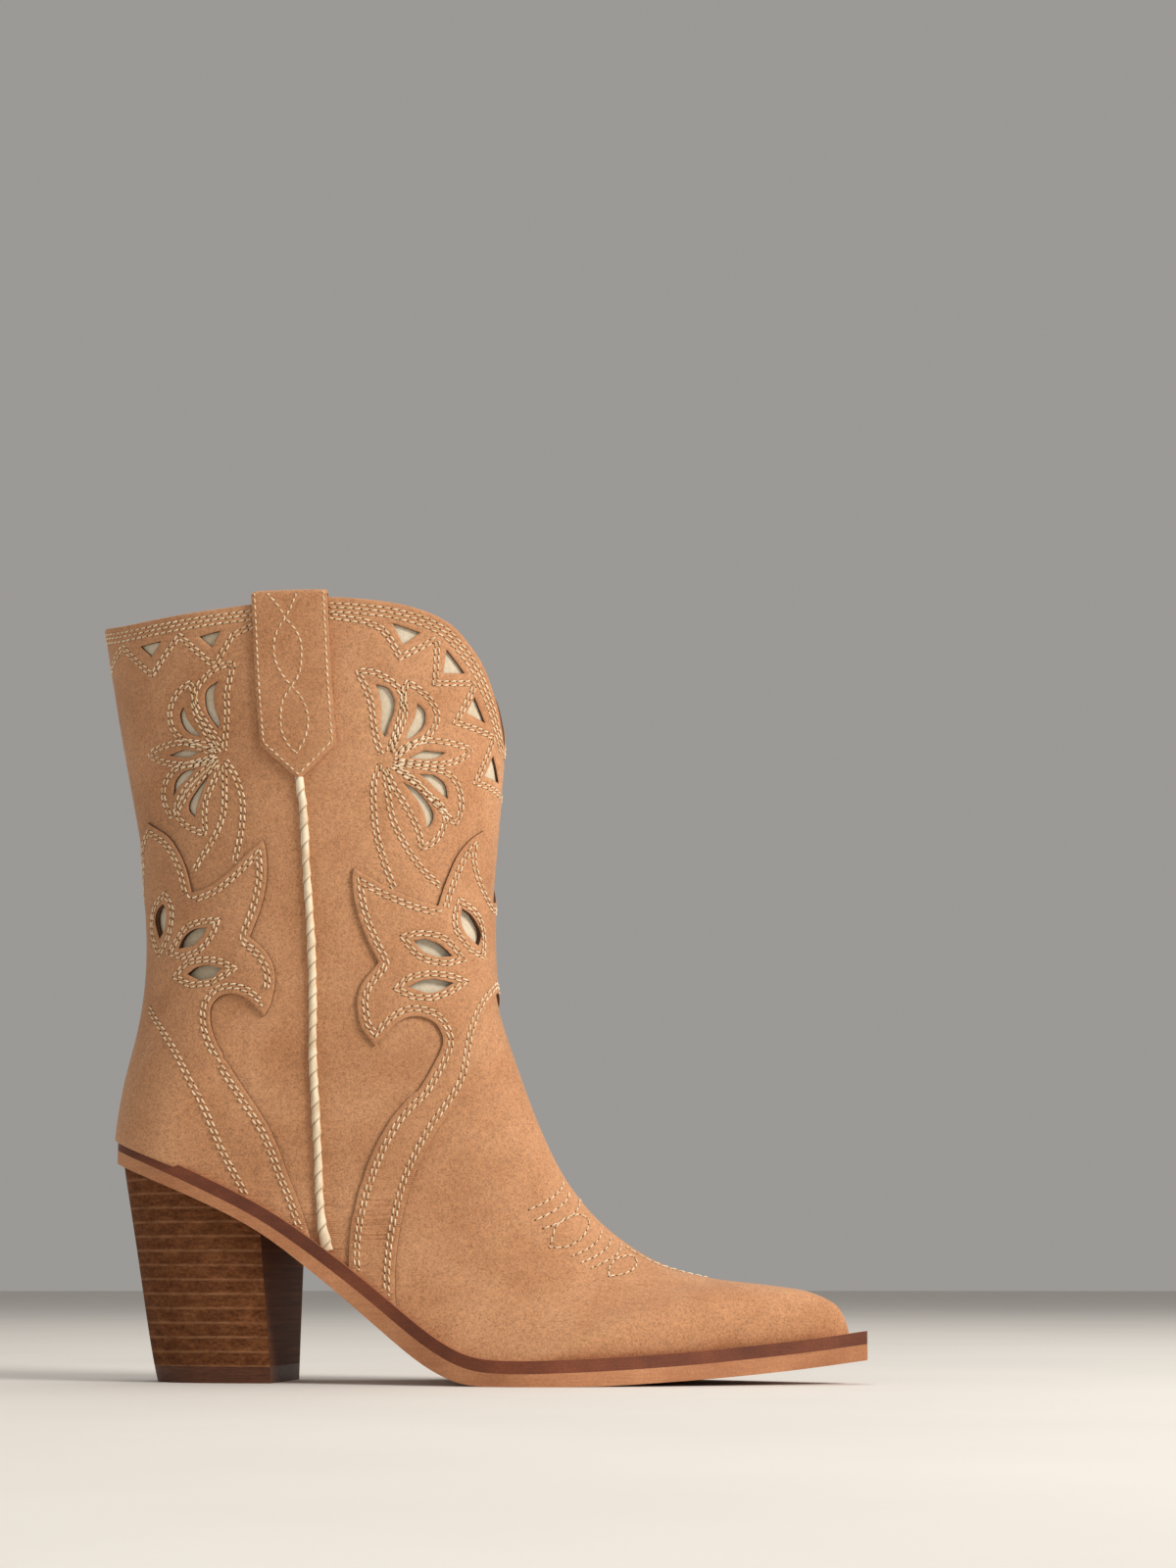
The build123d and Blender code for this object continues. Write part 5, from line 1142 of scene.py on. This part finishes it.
# ---------------------------------------------------------------- pull straps
def strap(side):
    """Flat loop: outer leg, fold over the top edge, inner leg. side +1 lateral, -1 medial."""
    th = 1.6
    uL0, uR0 = STRAP[0][0], STRAP[1][0]; uL1, uR1 = STRAP[4][0], STRAP[2][0]; v1 = 110.6; vt = 129.6; ut = STRAP[3][0]
    vtop = 33.0                      # wall's top edge here
    k = 1.47                         # units of v per mm near the top
    mid_o, mid_i = 0.95, -3.95       # heights of the two legs' middles
    rad = (mid_o - mid_i) / 2; c_o = (mid_o + mid_i) / 2
    path = []
    for v in list(np.linspace(vt, v1, 26)) + list(np.linspace(v1 - 1.5, vtop + 1.0, 60)):
        path.append((v, mid_o))
    for a in np.linspace(0, math.pi, 17)[1:-1]:
        path.append((vtop - k * (0.4 + 0.9 * rad * math.sin(a)), c_o + rad * math.cos(a)))
    for v in np.linspace(vtop + 1.0, 82.0, 26):
        path.append((v, mid_i))
    path = np.array(path)
    d = np.gradient(path * [1 / k, 1], axis=0); d /= np.linalg.norm(d, axis=1, keepdims=True)
    nv = np.stack([d[:, 1], -d[:, 0]], 1)          # sideways in (v/k, height)
    m_ = 25
    rings = []
    for (v, o), w in zip(path, nv):
        outer_leg = o > c_o
        if v <= v1 or not outer_leg:
            f = min(max((v - 28) / (v1 - 28), 0), 1)
            ua = uL0 + (uL1 - uL0) * f; ub = uR0 + (uR1 - uR0) * f
        else:
            f = (v - v1) / (vt - v1)
            ua = uL1 + (ut - uL1) * f; ub = uR1 + (ut - uR1) * f
            e = 0.004 * (1 - f); ua += e; ub -= e
        ring = []
        sgn = 1 if w[1] >= 0 or True else -1
        for top in (1, 0):
            cs = np.linspace(0, 1, m_) if top else np.linspace(1, 0, m_)
            for c in cs:
                edge = min(c, 1 - c) * abs(ua - ub) * 36
                drop = 0.34 * math.exp(-(edge / 0.35) ** 1.5) + (0.16 * math.exp(-((edge - 1.6) / 0.6) ** 2) if top else 0)
                hh = (th / 2 - drop) * (1 if top else -1)
                u = ua + (ub - ua) * c
                ring.append((u, v + w[0] * hh * k * -1, o + w[1] * hh * -1))
        rings.append(ring)
    R = np.array(rings)
    u = R[..., 0] * side
    P = surf(u, np.clip(R[..., 1], 0, None)) + normal(u, np.clip(R[..., 1], 0, None)) * R[..., 2][..., None]
    n = R.shape[1]
    V = P.reshape(-1, 3); F = []
    for i in range(len(R) - 1):
        for j in range(n):
            q = (j + 1) % n
            F.append((i * n + j, i * n + q, (i + 1) * n + q, (i + 1) * n + j))
    F.append(tuple(range(n))[::-1]); F.append(tuple((len(R) - 1) * n + j for j in range(n)))
    ob = mesh_object("pull_strap_leather_" + ("lateral" if side > 0 else "medial"), V, F, mats=[M_leather], sharp=60)
    bm = bmesh.new(); bm.from_mesh(ob.data); bmesh.ops.recalc_face_normals(bm, faces=bm.faces); bm.to_mesh(ob.data); bm.free()
    # distance from the strap's sides; the leather material paints edge shade from it
    att = ob.data.attributes.new("edge_mm", "FLOAT", "POINT")
    cc = np.tile(np.concatenate([np.linspace(0, 1, m_), np.linspace(1, 0, m_)]), len(R))
    att.data.foreach_set("value", (np.minimum(cc, 1 - cc) * 27).astype(np.float32))
    ob.data.materials[0] = M_leather
    piece(ob, ["pull_strap_lateral" if side > 0 else "pull_strap_medial"])
    # border and braid stitches of the outer leg
    t = Threads()
    a = [(uL0, 20.0), (uL1, v1), (ut, vt), (uR1, v1), (uR0, 20.0)]
    q = corner_path(a, [1, 2, 3], 0.4, False)
    q = min((shift_line(q, 1.35), shift_line(q, -1.35)), key=lambda l: l[:, 1].max())
    q = q[q[:, 1] > 30.0]
    q[:, 0] *= side
    t.row(q, 1.58, pitch=2.5, r=0.27)
    for p in BRAID:
        q = dense(p, 0.5); q[:, 0] *= side
        t.row(q, 1.66, pitch=2.6, r=0.28)
    piece(t.build("pull_strap_stitching_" + ("lateral" if side > 0 else "medial"), M_thread, M_hole_shade), ())


strap(1); strap(-1)

# ---------------------------------------------------------------- side seam piping: cord wrapped with a diagonal strip
def piping(side):
    line = seam_line[seam_line[:, 1] > 127.0]
    Q = dense(line, 0.28, smooth=False)
    bad = np.where((above(surf(Q[:, 0], Q[:, 1]), -0.4) <= 0) & (Q[:, 1] > 250))[0]
    Q = Q[:bad[0]] if len(bad) else Q
    Q[:, 0] *= side
    X = surf(Q[:, 0], Q[:, 1]); N = normal(Q[:, 0], Q[:, 1])
    T = np.gradient(X, axis=0); T /= np.linalg.norm(T, axis=1, keepdims=True)
    S = np.cross(N, T); S /= np.linalg.norm(S, axis=1, keepdims=True)
    L = np.concatenate([[0], np.cumsum(np.linalg.norm(np.diff(X, axis=0), axis=1))])
    k = 30; ang = np.linspace(0, 2 * np.pi, k, endpoint=False)
    flare = np.clip((L - (L[-1] - 13)) / 13, 0, 1)[:, None] ** 1.5
    wob = 0.06 * np.sin(L / 3.1 + 1.3) + 0.05 * np.sin(L / 7.7)
    pitch = 5.7 + 0.5 * np.sin(L / 19.0)
    ph = (np.cumsum(np.gradient(L) / pitch)[:, None] - side * (ang[None] - np.pi / 2) / (2 * np.pi) * 1.15) % 1.0
    step = 0.30 * ph ** 1.6
    groove_and_painted_shade = np.exp(-((ph - 0.0) / 0.07) ** 2) + np.exp(-((ph - 1.0) / 0.05) ** 2)
    rr = 1.28 + step - 0.16 * groove_and_painted_shade + wob[:, None]
    rs = rr * (1 + 0.5 * flare); rn = rr * (1 - 0.25 * flare)
    P = X[:, None] + N[:, None] * (0.42 + rn * np.sin(ang)[None])[..., None] + S[:, None] * (rs * np.cos(ang)[None])[..., None]
    n = len(X)
    F = [(i * k + j, i * k + (j + 1) % k, (i + 1) * k + (j + 1) % k, (i + 1) * k + j) for i in range(n - 1) for j in range(k)]
    F += [tuple(range(k))[::-1], tuple((n - 1) * k + j for j in range(k))]
    ob = mesh_object("side_piping_cord_" + ("lateral" if side > 0 else "medial"), P.reshape(-1, 3), F, mats=[M_piping])
    bm = bmesh.new(); bm.from_mesh(ob.data); bmesh.ops.recalc_face_normals(bm, faces=bm.faces); bm.to_mesh(ob.data); bm.free()
    # the groove mask dents the cord and also paints shade into the piping's colour
    att = ob.data.attributes.new("groove_and_painted_shade", "FLOAT", "POINT")
    att.data.foreach_set("value", np.clip(groove_and_painted_shade, 0, 1).ravel().astype(np.float32))
    piece(ob, ["side_piping_lateral" if side > 0 else "side_piping_medial"])


piping(1); piping(-1)

# ---------------------------------------------------------------- carried-over CAD nodes
look = {"welt": M_welt, "outsole": M_outsole, "heel_top_piece": M_top, "sock_liner": M_sock, "insole_board": M_board,
        "heel_counter": M_board, "toe_puff": M_board, "vamp_interlining": M_board, "bottom_filler": M_cork,
        "heel_cushion": M_foam, "shank": M_steel, "shank_rivets": M_steel, "heel_nails": M_steel, "heel_screw": M_steel,
        "top_piece_nails": M_steel}
for n_ in range(1, 15):
    look["heel_lift_%02d" % n_] = M_stack
for name, mat in look.items():
    o = nodes[name]
    if not o.material_slots:
        o.data.materials.append(mat)
    for s_ in o.material_slots:
        s_.material = mat

# ---------------------------------------------------------------- stage, light, camera
m = Mat("pale_floor")
n1 = m.noise(6, 4, 0.5); n2 = m.noise(260, 3, 0.6)
c = m.ramp(n1, [(0.3, (0.74, 0.71, 0.67, 1)), (0.7, (0.78, 0.75, 0.71, 1))])
M_floor = m.out(c, 0.85, m.bump(n2, 0.0002, 0.25), Specular_IOR_Level=0.15)
bm = bmesh.new(); bmesh.ops.create_circle(bm, cap_ends=True, radius=9.0, segments=96)
me = bpy.data.meshes.new("floor"); bm.to_mesh(me); bm.free(); me.materials.append(M_floor)
floor = bpy.data.objects.new("floor", me); bpy.context.scene.collection.objects.link(floor)

world = bpy.data.worlds.new("studio"); bpy.context.scene.world = world; world.use_nodes = True
bg = world.node_tree.nodes["Background"]; bg.inputs[0].default_value = (0.83, 0.80, 0.76, 1); bg.inputs[1].default_value = 0.40


def area(name, loc, target, size, power, color=(1, 1, 1)):
    l = bpy.data.lights.new(name, "AREA"); l.shape = "RECTANGLE"; l.size, l.size_y = size; l.energy = power; l.color = color
    o = bpy.data.objects.new(name, l); bpy.context.scene.collection.objects.link(o)
    o.location = loc
    o.rotation_euler = (Vector(target) - Vector(loc)).to_track_quat("-Z", "Y").to_euler()
    return o


area("key", (1.45, -0.72, 1.05), (0, 0, 0.12), (0.65, 0.65), 31, (1.0, 0.96, 0.90))
area("fill", (-1.2, -1.5, 0.8), (0, 0, 0.12), (1.6, 1.2), 3.2, (1.0, 0.97, 0.94))
area("top", (0.1, 0.5, 1.8), (0, 0, 0.1), (1.4, 1.4), 11, (1.0, 0.98, 0.95))

PSI = math.radians(7.5); RHO = math.radians(10.0); DIST = 1.0
n_ = Vector((math.sin(PSI) * math.cos(RHO), -math.cos(PSI) * math.cos(RHO), -math.sin(RHO)))
aim = Vector((0.0415 + SHIFT_X * MM, 0.0, 0.208 + SHIFT_Z * MM))
cam = bpy.data.cameras.new("camera"); cam.sensor_fit = "VERTICAL"; cam.sensor_height = 36.0; cam.lens = 36.0 * 2875.0 / 1600.0
cam.clip_start = 0.01; cam.clip_end = 50
co = bpy.data.objects.new("camera", cam); bpy.context.scene.collection.objects.link(co)
co.location = aim + n_ * DIST
co.rotation_euler = (-n_).to_track_quat("-Z", "Y").to_euler()
bpy.context.scene.camera = co
bpy.context.scene.view_settings.view_transform = "Standard"

bpy.context.view_layer.update()
